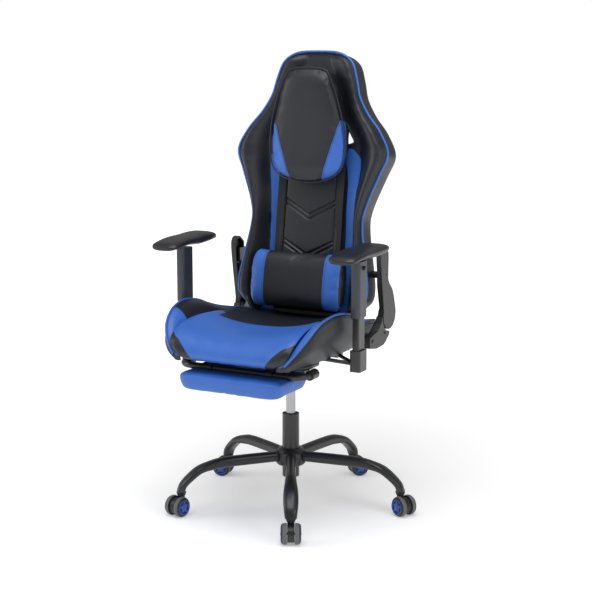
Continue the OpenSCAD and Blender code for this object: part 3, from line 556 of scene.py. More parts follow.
# %% One at each point
each, each_in, each_out = geometry_tree("One at each point", [
    ("Part", "NodeSocketObject"), ("Material", "NodeSocketMaterial")])
part_info = each.add("GeometryNodeObjectInfo", {"Object": each_in.outputs["Part"]})
face_way = each.add("FunctionNodeAlignRotationToVector", axis="Z")
way_value = each.add("GeometryNodeInputNamedAttribute", {"Name": "way"}, data_type="FLOAT_VECTOR")
each.tree.links.new(way_value.outputs[0], face_way.inputs["Vector"])
set_parts = each.add("GeometryNodeInstanceOnPoints", {
    "Points": each_in.outputs["Geometry"], "Instance": part_info.outputs["Geometry"],
    "Rotation": face_way.outputs[0]})
end_tree(each, set_parts.outputs[0], each_in.outputs["Material"], each_out)


def line_object(name, points, closed=False):
    """A bare polyline as a mesh of edges."""
    mesh = bpy.data.meshes.new(name)
    n = len(points)
    edges = [(i, (i + 1) % n) for i in range(n if closed else n - 1)]
    mesh.from_pydata([tuple(map(float, p)) for p in points], edges, [])
    made = bpy.data.objects.new(name, mesh)
    scene.collection.objects.link(made)
    return made


def stitches(name, points, material, body, spacing=0.0062, length=0.0042, radius=0.00055, closed=False):
    """A row of thread stitches along a line, riding on a body."""
    made = run_tree(line_object(name, points, closed), row, {
        "Spacing": spacing, "Length": length, "Radius": radius, "Material": material})
    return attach(made, body)


def at_points(name, part, places, ways, material, body):
    """A copy of a small part at each place, its Z axis turned along each way."""
    made = line_object(name, places)
    attribute = made.data.attributes.new("way", "FLOAT_VECTOR", "POINT")
    attribute.data.foreach_set("vector", np.asarray(ways, np.float32).ravel())
    run_tree(made, each, {"Part": part, "Material": material})
    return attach(made, body)


print("geometry trees:", [g.name for g in bpy.data.node_groups if g.bl_idname == "GeometryNodeTree"])

# %% [markdown]
# ## Base legs
# Each leg is a steel tube that leaves the hub level, bends down and is pressed wide and flat over the
# caster. One leg is a skin over eight measured ovals, with a weld bead where it meets the hub, and the
# ring tree turns it into five.

# %% One leg and its weld, five times
LEG_TURN = math.radians(-62)
LEG_OVALS = [  # distance out, height, width, thickness, slope in degrees
    (0.035, 0.147, 0.0280, 0.0310, 0), (0.134, 0.146, 0.0280, 0.0320, -2),
    (0.208, 0.144, 0.0310, 0.0310, -8), (0.246, 0.138, 0.0350, 0.0280, -22),
    (0.280, 0.128, 0.0410, 0.0240, -40), (0.308, 0.108, 0.0430, 0.0220, -56),
    (0.329, 0.087, 0.0390, 0.0220, -72), (0.337, 0.0672, 0.0340, 0.0230, -84),
]


def oval(station, grow=0.0, sides=24):
    """One ring of the leg tube, a flat oval square to the leg."""
    out, up, width, thick, slope = station
    a = np.linspace(0, 2 * math.pi, sides, endpoint=False)
    across = (width / 2 + grow) * np.sign(np.cos(a)) * np.abs(np.cos(a)) ** 0.85
    above = (thick / 2 + grow) * np.sign(np.sin(a)) * np.abs(np.sin(a)) ** 0.85
    tilt = math.radians(slope)
    return np.stack([out - above * math.sin(tilt), across, up + above * math.cos(tilt)], -1)


leg_rows = [oval(s) for s in smooth_curve(LEG_OVALS, 6)]
leg_points, leg_faces = skin(leg_rows)
legs = make_object("legs", leg_points, leg_faces, black_steel)
run_tree(legs, ring, {"Count": 5, "First angle": LEG_TURN, "Material": black_steel})
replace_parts(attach(legs, "base"), "base_legs")

bead = tube("weld_beads", oval((0.0445, 0.147, 0.0285, 0.0315, 0), 0.0008), 0.0022, black_steel, 8, True)
run_tree(bead, ring, {"Count": 5, "First angle": LEG_TURN, "Material": black_steel})
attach(bead, "base")

collar_rows = [[(0.335 + r * math.cos(a), r * math.sin(a), z) for a in np.linspace(0, 2 * math.pi, 32, endpoint=False)]
               for r, z in ((0.0128, 0.0690), (0.0142, 0.0675), (0.0142, 0.0640), (0.0128, 0.0628), (0.0095, 0.0628))]
collar_points, collar_faces = skin(collar_rows)
collars = make_object("stem_collars", collar_points, collar_faces, black_plastic)
run_tree(collars, ring, {"Count": 5, "First angle": LEG_TURN, "Material": black_plastic})
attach(collars, "base")
print("legs:", len(legs.data.polygons), "faces")

# %% [markdown]
# ## Casters
# A caster is two wheels on one axle. Each wheel has a ribbed grey tread, a dark tapered wall and a
# blue hub with a five-point star over a dark dish. One pair is built about its own axle, then placed at
# each leg in the direction the caster trails.

# %% One pair of wheels about its axle


def turned(profile, count=64):
    """Rows for a shape turned about Z from (radius, height) points."""
    a = np.linspace(0, 2 * math.pi, count, endpoint=False)
    return [[(r * math.cos(t), r * math.sin(t), z) for t in a] for r, z in profile]


def both_sides(points, faces):
    """The same shape on the other end of the axle too."""
    p = np.array(points, float)
    far = p * (1, 1, -1)
    return np.vstack([p, far]), list(faces) + [tuple(i + len(p) for i in f)[::-1] for f in faces]


tyre_profile = smooth_curve([(0.0226, 0.0108), (0.0276, 0.0109), (0.0289, 0.0122), (0.0290, 0.0165),
                             (0.0287, 0.0208), (0.0272, 0.0242), (0.0246, 0.0268), (0.0222, 0.0276)], 3)
wheel_bits = {
    "tyre": skin(turned(tyre_profile) + turned([(0.0216, 0.0268), (0.0216, 0.0200)]), caps=False),
    "rim": skin(turned(smooth_curve([(0.0217, 0.0230), (0.0217, 0.0270), (0.0208, 0.0283), (0.0192, 0.0280),
                                     (0.0186, 0.0262), (0.0186, 0.0245)], 3)), caps=False),
    "dish": skin(turned([(0.0190, 0.0252), (0.0120, 0.0246), (0.0004, 0.0246)], 40)),
    "back": skin(turned([(0.0230, 0.0110), (0.0226, 0.0107), (0.0034, 0.0107)], 40), caps=False),
}
star_angles = np.linspace(0, 2 * math.pi, 10, endpoint=False) + math.pi / 2


def star_ring(tip, notch, z):
    radii = np.where(np.arange(10) % 2 == 0, tip, notch)
    return [(r * math.cos(a), r * math.sin(a), z) for r, a in zip(radii, star_angles)]


star_rows = [star_ring(0.0196, 0.0103, 0.0246), star_ring(0.0196, 0.0103, 0.0266), star_ring(0.0188, 0.0096, 0.0275),
             star_ring(0.0120, 0.0066, 0.0281), star_ring(0.0030, 0.0024, 0.0283)]
wheel_bits["star"] = skin(star_rows)
wheel_bits["boss"] = skin(turned([(0.0044, 0.0270), (0.0042, 0.0288), (0.0030, 0.0293), (0.0004, 0.0294)], 24))

rib_rows = [[(r, y, z) for r, y in ((0.0284, -0.0009), (0.0284, 0.0009), (0.0294, 0.0006), (0.0294, -0.0006))]
            for z in (0.0122, 0.0130, 0.0195, 0.0204)]
rib_points, rib_faces = skin(rib_rows)
ribs = make_object("tread_ribs", rib_points, rib_faces, tread_grey)
run_tree(ribs, ring, {"Count": 40, "First angle": 0.0, "Material": tread_grey})
wheel_bits["ribs"] = (coords(ribs), [tuple(p.vertices) for p in ribs.data.polygons])
bpy.data.objects.remove(ribs)

# %% Place a pair at each leg
CASTER_TURN = [-62, -28, 45, 190, 260]
WHEEL_MATERIALS = [tread_grey, dark_rubber, blue_plastic, black_plastic]
BIT_MATERIAL = {"tyre": 1, "rim": 2, "dish": 3, "back": 1, "star": 2, "boss": 2, "ribs": 0}
for k, heading in enumerate(CASTER_TURN, 1):
    leg_angle = LEG_TURN + math.radians(72) * (k - 1)
    place = (Matrix.Rotation(leg_angle, 4, "Z") @ Matrix.Translation((0.335, 0, 0))
             @ Matrix.Rotation(math.radians(heading) - leg_angle, 4, "Z")
             @ Matrix.Translation((0.018, 0, 0.029)) @ Matrix.Rotation(math.pi / 2, 4, "X"))
    points, faces, finish = [], [], []
    for bit, (p, f) in wheel_bits.items():
        p, f = both_sides(p, f)
        faces += [tuple(i + len(points) for i in face) for face in f]
        finish += [0 if bit == "tyre" and all(np.hypot(*p[i][:2]) > 0.0278 for i in face) else BIT_MATERIAL[bit]
                   for face in f]
        points += list(p)
    spin = np.array(place)
    world_points = np.array(points) @ spin[:3, :3].T + spin[:3, 3]
    wheel = make_object(f"wheels_pair_{k}", world_points, faces, *WHEEL_MATERIALS)
    if len(wheel.data.polygons) == len(finish):
        wheel.data.polygons.foreach_set("material_index", finish)
    wheel.data.set_sharp_from_angle(angle=math.radians(38))
    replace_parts(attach(wheel, f"wheels_{k}"), f"caster_wheels_{k}")
print("wheel pair:", len(points), "points")

# %% [markdown]
# ## Finishes for the parts that keep their own shape
# The hub, column, casters' hoods, tilt mechanism, levers, brackets, hinge covers, tubes and sleeves
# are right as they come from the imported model, so they only get their finish.

# %% Paint the metal and plastic parts
FINISH = {
    black_steel: ["base_hub", "column_tube", "mechanism_housing", "seat_plate", "lever_rod", "arm_bracket_left",
                  "arm_bracket_right", "recline_bracket_left", "recline_bracket_right", "footrest_frame",
                  "footrest_slider", "back_frame", "arm_bolts"],
    bare_steel: ["caster_stems", "lift_rod", "thrust_bearing", "valve_button", "tilt_pin", "tilt_spring",
                 "lock_slider"],
    chrome: ["gas_cylinder"],
    black_plastic: ["column_bush", "tension_knob", "lever_grip", "lower_cover_left", "lower_cover_right",
                    "upper_cover_left", "upper_cover_right", "recline_lever", "arm_button_left",
                    "arm_button_right", "footrest_board"] + [f"caster_hood_{k}" for k in range(1, 6)],
    grey_plastic: ["arm_sleeve_left", "arm_sleeve_right"],
    birch: ["seat_board"],
}
for material, names in FINISH.items():
    for name in names:
        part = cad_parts[name]
        part.data.materials.clear()
        part.data.materials.append(material)
print("painted:", sum(len(n) for n in FINISH.values()), "parts")

# %% [markdown]
# ## Seat cushion
# The sitter's part of a bucket seat is a dished pad: the middle lies low, the sides and the front edge
# roll up and over. It is stretched leather over moulded foam, so it has hardly a flat spot. A row of
# measured stations runs from the rear, over the top and down round the front, and a skin goes over
# them. The front third is blue, split from the black by one straight seam.

# %% Dished pad over a row of stations
SEAT_STATIONS = [  # depth, height, half width, rise of the edge
    (.146, .520, .150, 0), (.150, .538, .155, .004), (.128, .553, .165, .010), (.04, .560, .172, .016),
    (-.06, .565, .176, .024), (-.15, .568, .180, .030), (-.23, .569, .186, .030), (-.29, .566, .190, .024),
    (-.33, .557, .191, .016), (-.356, .541, .188, .010), (-.368, .520, .174, .003), (-.366, .503, .160, 0),
    (-.350, .4935, .146, 0),
]
SEAT_FRONT_SEAM = -0.162
seat_path = smooth_curve(SEAT_STATIONS, 7)
run = np.gradient(seat_path[:, :2], axis=0)
run /= np.linalg.norm(run, axis=1)[:, None]
seat_up = np.stack([run[:, 1], -run[:, 0]], -1)
columns = np.sin(np.linspace(-math.pi / 2, math.pi / 2, 57))
seat_rows = []
for (y, z, half, rise), up in zip(seat_path, seat_up):
    lift = rise * np.abs(columns) ** 2.4 - 0.007 * ease(np.abs(columns), 0.90, 1.0)
    pucker = 0.0007 * np.sin(columns * 21 + y * 60) * hump(y, -0.34, 0.03)
    top = np.stack([columns * half, y + up[0] * (lift + pucker), z + up[1] * (lift + pucker)], -1)
    deep = 0.022 if z > 0.53 else 0.010
    low = np.stack([columns * (half - 0.006), y + up[0] * (lift - deep), z + up[1] * (lift - deep)], -1)
    seat_rows.append(np.vstack([top, low[::-1]]))
seat_points, seat_faces = skin(seat_rows)
seat_pad = make_object("seat_pad", seat_points, seat_faces, two_leathers)
co = coords(seat_pad)
ax = np.abs(co[:, 0])
in_front = np.maximum(SEAT_FRONT_SEAM - co[:, 1], np.minimum(ax - 0.146, SEAT_FRONT_SEAM + 0.046 - co[:, 1]))
corner = np.interp(co[:, 2], [0.494, 0.510, 0.532, 0.552, 0.568], [0.112, 0.121, 0.140, 0.163, 0.200])
store(seat_pad, "panel", np.where(co[:, 1] < -0.30, np.minimum(in_front, corner - ax), in_front))
add_levels(seat_pad)
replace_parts(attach(seat_pad, "seat"), "seat_cushion")


# %% Seam and stitches across the seat
def seat_surface(y):
    """The height of the pad's middle, the rise of its edge and its half width, at one depth."""
    top = seat_path[(seat_path[:, 1] > 0.55)]
    order = np.argsort(top[:, 0])
    return [float(np.interp(y, top[order, 0], top[order, k])) for k in (1, 3, 2)]


def across_seat(y, reach, lift):
    z, rise, half = seat_surface(y)
    x = np.linspace(-reach, reach, 60)
    return np.stack([x, np.full(60, y), z + rise * np.abs(x / half) ** 2.4 + lift], -1)


stitches("seat_seam_front", across_seat(SEAT_FRONT_SEAM - 0.006, 0.136, 0.0004), thread_blue, "seat")
stitches("seat_seam_rear", across_seat(SEAT_FRONT_SEAM + 0.006, 0.136, 0.0004), thread_black, "seat")
print("seat pad:", len(seat_pad.data.polygons), "faces")

# %% [markdown]
# ## Seat bolsters
# The raised sides of the bucket are long foam wedges in their own leather, lowest at the rear and
# fullest beside the thighs, where they turn in towards the front corners. Each is one skin over
# fourteen measured rings. A blue crescent faces the sitter at the front, and piping follows the crest.

# %% Rings of one bolster
BOLSTER_STATIONS = [  # depth, inner x, channel height, crest x, crest height, foot x
    (-.364, .150, .503, .173, .508, .165), (-.358, .156, .508, .190, .528, .170), (-.347, .166, .520, .204, .547, .176),
    (-.333, .176, .535, .215, .566, .182), (-.313, .184, .552, .225, .587, .188), (-.289, .186, .562, .231, .604, .192),
    (-.257, .184, .568, .236, .618, .196), (-.195, .180, .572, .243, .626, .202), (-.123, .176, .570, .244, .616, .206),
    (-.063, .173, .565, .242, .595, .206), (-.012, .171, .561, .232, .579, .204), (.05, .168, .556, .216, .566, .200),
    (.10, .165, .552, .208, .557, .198), (.14, .160, .545, .204, .550, .196),
]
BOLSTER_BASE = 0.492
bolster_path = smooth_curve(BOLSTER_STATIONS, 5)


def bolster_ring(station):
    """Closed ring from the inner foot, up the channel and inner face, over the crest, down outside."""
    y, inner, channel, crest_x, crest_z, foot = station
    base = min(BOLSTER_BASE, channel - 0.004)
    rise = crest_z - channel
    wide = crest_x - inner
    inside = [(inner - .002, base), (inner - .001, (base + channel) / 2), (inner, channel)]
    inside += [(inner + wide * k, channel + rise * h) for k, h in ((.16, .34), (.38, .66), (.68, .92))]
    outside = [(crest_x, crest_z), (crest_x + .004, crest_z - .016 * min(1, rise / .03)),
               (crest_x + .003, base + (crest_z - base) * .55), ((crest_x + foot) / 2, base + (crest_z - base) * .22),
               (foot, base)]
    line = smooth_curve(inside + outside, 3)
    return np.stack([line[:, 0], np.full(len(line), y), line[:, 1]], -1)


CREST_INDEX = 18
CHANNEL_INDEX = 6
for side_name, sign in (("left", 1), ("right", -1)):
    rings = [bolster_ring(s) * (sign, 1, 1) for s in bolster_path]
    ring_size = len(rings[0])
    points, faces = skin(rings)
    bolster = make_object(f"side_bolster_{side_name}", points, faces, two_leathers)
    distance = []
    for station in bolster_path:
        rise = station[4] - station[2]
        for k in range(ring_size):
            up_face = (k - CHANNEL_INDEX) / (CREST_INDEX - CHANNEL_INDEX)
            distance.append(min(-0.258 - station[0], (up_face - 0.10) * rise, (0.98 - up_face) * rise))
    reference = {tuple(np.round(p, 5)): d for p, d in zip(points, distance)}
    store(bolster, "panel", [reference.get(tuple(np.round(c, 5)), -0.01) for c in coords(bolster)])
    add_levels(bolster)
    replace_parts(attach(bolster, "seat"), f"seat_bolster_{side_name}")
    crest = np.array([(sign * (s[3] + .001), s[0], s[4] + .0012) for s in bolster_path])
    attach(tube(f"seat_piping_{side_name}", crest, 0.0031, blue_leather), "seat")
    below = crest + (sign * 0.006, 0, -0.010)
    stitches(f"bolster_stitch_{side_name}", below[8:], thread_black, "seat", 0.0068)
print("bolster ring:", ring_size, "points")

# %% [markdown]
# ## Back shell
# The back of a racing seat is one upholstered shell: a deep roll down each side, a shoulder wing with a
# slot through it, and a head section. It could be cut from a block, but leather over foam has no sharp
# edge, so the front is a grid whose depth follows the roll, the rear is nearly flat, and a side wall
# joins them. The slots are cut through afterwards and get a rolled rim.

# %% Outline and depth of the shell
BACK_EDGE = [(.158, -.026), (.176, 0), (.206, .030), (.212, .068), (.204, .120), (.182, .240), (.187, .300), (.222, .393),
             (.245, .458), (.216, .520), (.174, .571), (.144, .621), (.130, .672), (.110, .722), (.066, .748),
             (0, .752)]
REAR = 0.079
back_edge = smooth_curve(BACK_EDGE, 8)


def wing_start(u):
    """Where the side roll leaves the flat strip beside the centre panel."""
    return 0.139 + 0.011 * ease(u, 0.32, 0.43) - 0.055 * ease(u, 0.47, 0.60) - 0.06 * ease(u, 0.60, 0.75)


def front_depth(x, u, half):
    """Depth of the shell's front at x, u: a recess in the middle and a roll at each side."""
    x = np.abs(x)
    recess = 0.046 - 0.010 * ease(u, 0.20, 0.32) - 0.012 * ease(u, 0.40, 0.52) - 0.016 * ease(u, 0.54, 0.66)
    start = np.minimum(wing_start(u), half * 0.78)
    t = np.clip((x - start) / np.maximum(half - start, 1e-4), 0, 1)
    crest = -0.018 + 0.010 * ease(u, 0.50, 0.62)
    rise = np.sin(np.clip(t / 0.70, 0, 1) * math.pi / 2) ** 1.2
    fall = ease(t, 0.70, 1.0) ** 1.5
    edge_depth = 0.004
    roll = recess + (crest - recess) * rise
    return roll + (edge_depth - crest) * fall * (rise > 0.98)


# %% Rings of the shell
FRONT_COLUMNS = 73
front_a = np.sin(np.linspace(-math.pi / 2, math.pi / 2, FRONT_COLUMNS))
rear_a = np.sin(np.linspace(math.pi / 2, -math.pi / 2, 25))
shell_rows = []
for half, u in back_edge:
    half = max(half, 0.0015)
    taper = ease(0.752 - u, 0.0, 0.03)
    x = front_a * half
    front = front_depth(x, u, half)
    front = front * taper + (0.012) * (1 - taper)
    crease = 0.0006 * np.sin(u * 210 + x * 14) * hump(np.abs(x), half * 0.86, 0.02)
    wall = [(half, v, u) for v in (0.022, 0.042, 0.062)]
    rear = REAR - 0.012 * (1 - ease(1 - np.abs(rear_a), 0.0, 0.12)) - 0.010 * (1 - taper)
    rows_here = np.vstack([np.stack([x, front + crease, np.full_like(x, u)], -1), wall,
                           np.stack([rear_a * (half - 0.001), rear, np.full_like(rear_a, u)], -1),
                           [(-half, v, u) for v in (0.062, 0.042, 0.022)]])
    shell_rows.append(on_back(rows_here[:, 0], rows_here[:, 1], rows_here[:, 2]))
shell_points, shell_faces = skin(shell_rows)
shell = make_object("back_shell", shell_points, shell_faces, two_leathers)

# %% Cut the two slots
SLOT = [(0.082, 0.486), (0.126, 0.490), (0.114, 0.518), (0.095, 0.546), (0.082, 0.546)]


def slot_line(side, grow=0.0, steps=6):
    middle = np.mean(SLOT, axis=0)
    line = smooth_curve([np.array(p) + grow * (np.array(p) - middle) / np.linalg.norm(np.array(p) - middle)
                         for p in SLOT], steps, closed=True)
    return line * (side, 1)


for sign in (1, -1):
    line = slot_line(sign)
    prism_points, prism_faces = skin([on_back(line[:, 0], v, line[:, 1]) for v in (-0.06, 0.14)])
    cutter = make_object("slot_cutter", prism_points, prism_faces, black_leather)
    cut = shell.modifiers.new("slot", "BOOLEAN")
    cut.operation, cut.object, cut.solver = "DIFFERENCE", cutter, "EXACT"
    graph = bpy.context.evaluated_depsgraph_get()
    shell.data = bpy.data.meshes.new_from_object(shell.evaluated_get(graph), depsgraph=graph)
    shell.modifiers.clear()
    bpy.data.objects.remove(cutter)
shell.data.materials.clear()
shell.data.materials.append(two_leathers)
shell.data.polygons.foreach_set("material_index", [0] * len(shell.data.polygons))
shell.data.polygons.foreach_set("use_smooth", [True] * len(shell.data.polygons))
shell.data.set_sharp_from_angle(angle=math.radians(60))

# %% Blue strips beside the centre panel
flat = off_back(coords(shell))
ax, depth, up = np.abs(flat[:, 0]), flat[:, 1], flat[:, 2]
outer = 0.139 + 0.012 * ease(up, 0.30, 0.43)
inner = 0.111 - 0.012 * ease(up, 0.36, 0.46)
strip_top = 0.474 - 1.1 * np.maximum(ax - 0.124, 0)
strip = np.minimum.reduce([ax - inner, outer - ax, strip_top - up, 0.06 - depth])
if "panel" in shell.data.attributes:
    shell.data.attributes.remove(shell.data.attributes["panel"])
store(shell, "panel", strip)
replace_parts(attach(shell, "back"), "head_cushion", "back_bolster_left", "back_bolster_right", "back_cover")

# %% Piping round the shell and rims in the slots
edge_line = np.vstack([back_edge, back_edge[::-1][1:] * (-1, 1)])
piping = on_back(edge_line[:, 0] * 1.004, 0.004, edge_line[:, 1])
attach(tube("back_piping", piping, 0.0032, blue_leather), "back")
for side_name, sign in (("left", 1), ("right", -1)):
    line = slot_line(sign, 0.0015)
    shell_front = BVHTree.FromPolygons([tuple(p) for p in coords(shell)], [tuple(p.vertices) for p in shell.data.polygons])
    wide = slot_line(sign, 0.005)
    rim_front, rim_rear = [], []
    for (x, u), (wx, wu) in zip(line, wide):
        for store_in, start_v, way_v in ((rim_front, -0.08, 1), (rim_rear, 0.16, -1)):
            start = Vector(on_back(wx, start_v, wu))
            way = (Vector(on_back(wx, start_v + way_v * 0.01, wu)) - start).normalized()
            hit = shell_front.ray_cast(start, way)
            v = off_back([hit[0]])[0][1] if hit[0] is not None else 0.02
            store_in.append(on_back(x, v, u))
    for where, rim in (("front", rim_front), ("rear", rim_rear)):
        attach(tube(f"slot_rim_{where}_{side_name}", rim, 0.0042, black_leather, 10, True), "back")
    seam = []
    for k in np.linspace(0.04, 1.0, 40):
        x, u = 0.126 + 0.096 * k, 0.490 + 0.0718 * k
        if u > 0.60 or x > np.interp(u, *back_edge[np.argsort(back_edge[:, 1])][:, ::-1].T) - 0.001:
            break
        start = Vector(on_back(sign * x, -0.08, u))
        hit = shell_front.ray_cast(start, (Vector(on_back(sign * x, 0, u)) - start).normalized())
        if hit[0] is not None:
            seam.append(hit[0])
    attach(tube(f"shoulder_seam_{side_name}", seam, 0.0009, thread_black, 6), "back")
rear_tree = BVHTree.FromPolygons([tuple(p) for p in coords(shell)], [tuple(p.vertices) for p in shell.data.polygons])
for side_name, sign in (("left", 1), ("right", -1)):
    rear_seam = []
    for u in np.linspace(0.02, 0.45, 70):
        start = Vector(on_back(sign * 0.105, 0.16, u))
        hit = rear_tree.ray_cast(start, (Vector(on_back(sign * 0.105, 0.0, u)) - start).normalized())
        if hit[0] is not None:
            rear_seam.append(hit[0])
    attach(tube(f"rear_seam_{side_name}", rear_seam, 0.0009, thread_black, 6), "back")
    stitches(f"rear_stitches_{side_name}", [Vector(p) + Vector((sign * 0.006, 0.0004, 0)) for p in rear_seam],
             thread_grey, "back", 0.0072)
print("back shell:", len(shell.data.polygons), "faces")

# %% [markdown]
# ## Centre panel of the back
# The sitter leans on a separate padded panel between the side rolls. It is quilted: a border channel,
# and two double chevrons pressed in with thread. Depth is a formula of the distance to each groove, so
# one fine grid is enough, and the leather swells between the grooves as real wadding does.

# %% Quilted grid
PANEL_HALF, PANEL_LOW, PANEL_HIGH, PANEL_REAR = 0.108, -0.012, 0.560, 0.050
GROOVES = [0.2735, 0.2600, 0.1541, 0.1410]
panel_u = np.linspace(PANEL_LOW, PANEL_HIGH, 361)
panel_rows = []
for u in panel_u:
    half = PANEL_HALF - 0.030 * ease(u, 0.40, 0.50)
    x = np.sin(np.linspace(-math.pi / 2, math.pi / 2, 91)) * half
    border = hump(np.abs(x), 0.084 * half / PANEL_HALF, 0.0035)
    quilt = sum(hump(u - 0.55 * np.abs(x), g, 0.0034) for g in GROOVES) * (np.abs(x) < 0.082)
    ends = ease(half - np.abs(x), 0, 0.013) * ease(min(u - PANEL_LOW, PANEL_HIGH - u), -0.002, 0.014)
    swell = 0.004 * (1 - (x / half) ** 2)
    v = 0.0215 + (1 - ends) * 0.022 + 0.0055 * border + 0.0052 * np.minimum(quilt, 1) - swell
    front = on_back(x, v, u)
    rear = on_back(x[::-1], PANEL_REAR, u)
    panel_rows.append(np.vstack([front, rear]))
points, faces = skin(panel_rows)
centre = make_object("centre_panel", points, faces, black_leather)
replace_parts(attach(centre, "back"), "back_cushion")
for k, groove in enumerate(GROOVES, 1):
    x = np.linspace(-0.080, 0.080, 90)
    v = 0.0215 + 0.0052 - 0.004 * (1 - (x / PANEL_HALF) ** 2) - 0.0004
    stitches(f"chevron_thread_{k}", on_back(x, v, groove + 0.55 * np.abs(x)), thread_black, "back", 0.0058)

# %% Elastic straps that hold the lumbar pillow
for side_name, sign in (("left", 1), ("right", -1)):
    middle_x = sign * 0.0965
    u = np.linspace(0.150, 0.486, 60)
    v = 0.0245 - 0.004 * ease(u, 0.20, 0.32) + 0.022 * ease(u, 0.455, 0.486)
    rows_of_strap = []
    for vk, uk in zip(v, u):
        cross = [(-0.012, 0), (0.012, 0), (0.012, 0.0012), (-0.012, 0.0012)]
        rows_of_strap.append([on_back(middle_x + cx, vk - 0.0030 + cv, uk) for cx, cv in cross])
    points, faces = skin(rows_of_strap)
    strap = make_object(f"pillow_strap_{side_name}", points, faces, strap_black, smooth=False)
    uv = strap.data.uv_layers.new(name="along")
    place = off_back(coords(strap))
    for loop in strap.data.loops:
        uv.data[loop.index].uv = (place[loop.vertex_index][0] - middle_x, place[loop.vertex_index][2])
    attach(strap, "back")
print("centre panel:", len(centre.data.polygons), "faces")

# %% [markdown]
# ## Pillows
# The head and lumbar pillows are stuffed cases: panels of leather sewn along their edges and blown
# tight by the filling. A cloth simulation gives what modelling by hand seldom does, a crown that rises
# away from the seams and a little strain at the corners. A thin flat shape is remeshed, swollen with
# pressure for twenty frames, and its travel is capped, so the case keeps its measured size.


# %% Swell a flat case with cloth
def swell(piece, cap, voxel=0.005, pressure=4.0):
    """Remeshes a closed piece, blows it up as cloth and caps how far any point moves."""
    remesh = piece.modifiers.new("remesh", "REMESH")
    remesh.mode, remesh.voxel_size = "VOXEL", voxel
    graph = bpy.context.evaluated_depsgraph_get()
    piece.data = bpy.data.meshes.new_from_object(piece.evaluated_get(graph), depsgraph=graph)
    piece.modifiers.clear()
    start = coords(piece).copy()
    cloth = piece.modifiers.new("cloth", "CLOTH")
    cloth.settings.use_pressure = True
    cloth.settings.uniform_pressure_force = pressure
    cloth.settings.effector_weights.gravity = 0
    cloth.settings.quality = 5
    for number in range(1, 21):
        scene.frame_set(number)
    graph = bpy.context.evaluated_depsgraph_get()
    swollen = bpy.data.meshes.new_from_object(piece.evaluated_get(graph), depsgraph=graph)
    piece.modifiers.clear()
    piece.data = swollen
    scene.frame_set(1)
    travel = coords(piece) - start
    length = np.linalg.norm(travel, axis=1)[:, None]
    move_points(piece, start + travel * np.minimum(1, cap / np.maximum(length, 1e-9)))
    piece.data.polygons.foreach_set("use_smooth", [True] * len(piece.data.polygons))
    return piece


# %% Head pillow
HEAD_EDGE = [(.047, .370), (.088, .386), (.112, .414), (.121, .462), (.119, .505), (.112, .548), (.092, .620),
             (.066, .680), (.048, .692), (.020, .696), (0, .697)]
head_edge = smooth_curve([(0, .366), (.026, .367)] + HEAD_EDGE, 5)


def head_face(u):
    """Depth of the pillow's front, nearly upright while the back leans."""
    return -0.022 - 0.040 * ease(u, 0.38, 0.70)


case_rows = []
for half, u in head_edge[1:-1]:
    a = np.sin(np.linspace(-math.pi / 2, math.pi / 2, 31))
    crown = (1 - np.abs(a) ** 4) * ease(min(u - .366, .697 - u), -.004, .05)
    front = head_face(u) + 0.005 - 0.010 * crown
    half, inset_u = half + 0.001, 0.540 + (u - 0.540) * 1.01
    case_rows.append(np.vstack([on_back(a * half, front, inset_u), on_back(a[::-1] * half, 0.010, inset_u)]))
case_points, case_faces = skin(case_rows)
head_pad = make_object("head_pad", case_points, case_faces, two_leathers)
swell(head_pad, 0.006)
place = off_back(coords(head_pad))
line_x = np.interp(place[:, 2], [0.366, 0.560], [0.047, 0.110])
beside = (np.abs(place[:, 0]) - line_x) * 0.94
store(head_pad, "panel", np.minimum.reduce([beside, 0.568 - place[:, 2], -0.004 - place[:, 1]]))
add_levels(head_pad)
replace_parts(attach(head_pad, "head_pillow"), "head_pillow")


# %% Lay a line on a swollen pillow
def lay_on(piece, line, lift=0.0003):
    """Drops (x, u) points onto the front of a piece; returns points in the chair's frame."""
    mesh = piece.data
    tree = BVHTree.FromPolygons([tuple(p) for p in coords(piece)], [tuple(p.vertices) for p in mesh.polygons])
    laid = []
    for x, u in line:
        start = Vector(on_back(x, -0.16, u))
        way = (Vector(on_back(x, 0.0, u)) - start).normalized()
        hit = tree.ray_cast(start, way)
        if hit[0] is not None:
            laid.append(hit[0] - way * lift)
    return laid


for side_name, sign in (("left", 1), ("right", -1)):
    u = np.linspace(0.378, 0.560, 60)
    for row_name, shift in (("inner", -0.004), ("outer", 0.004)):
        x = sign * (np.interp(u, [0.366, 0.560], [0.047, 0.110]) + shift)
        stitches(f"head_seam_{row_name}_{side_name}", lay_on(head_pad, np.stack([x, u], -1)),
                 thread_black, "head_pillow", 0.0056)
seam_line = np.vstack([head_edge, head_edge[::-1][1:-1] * (-1, 1)])
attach(tube("head_pillow_welt", on_back(seam_line[:, 0] * 1.025, head_face(seam_line[:, 1]) + 0.004,
                                                seam_line[:, 1]), 0.0022, black_leather, 8, True), "head_pillow")

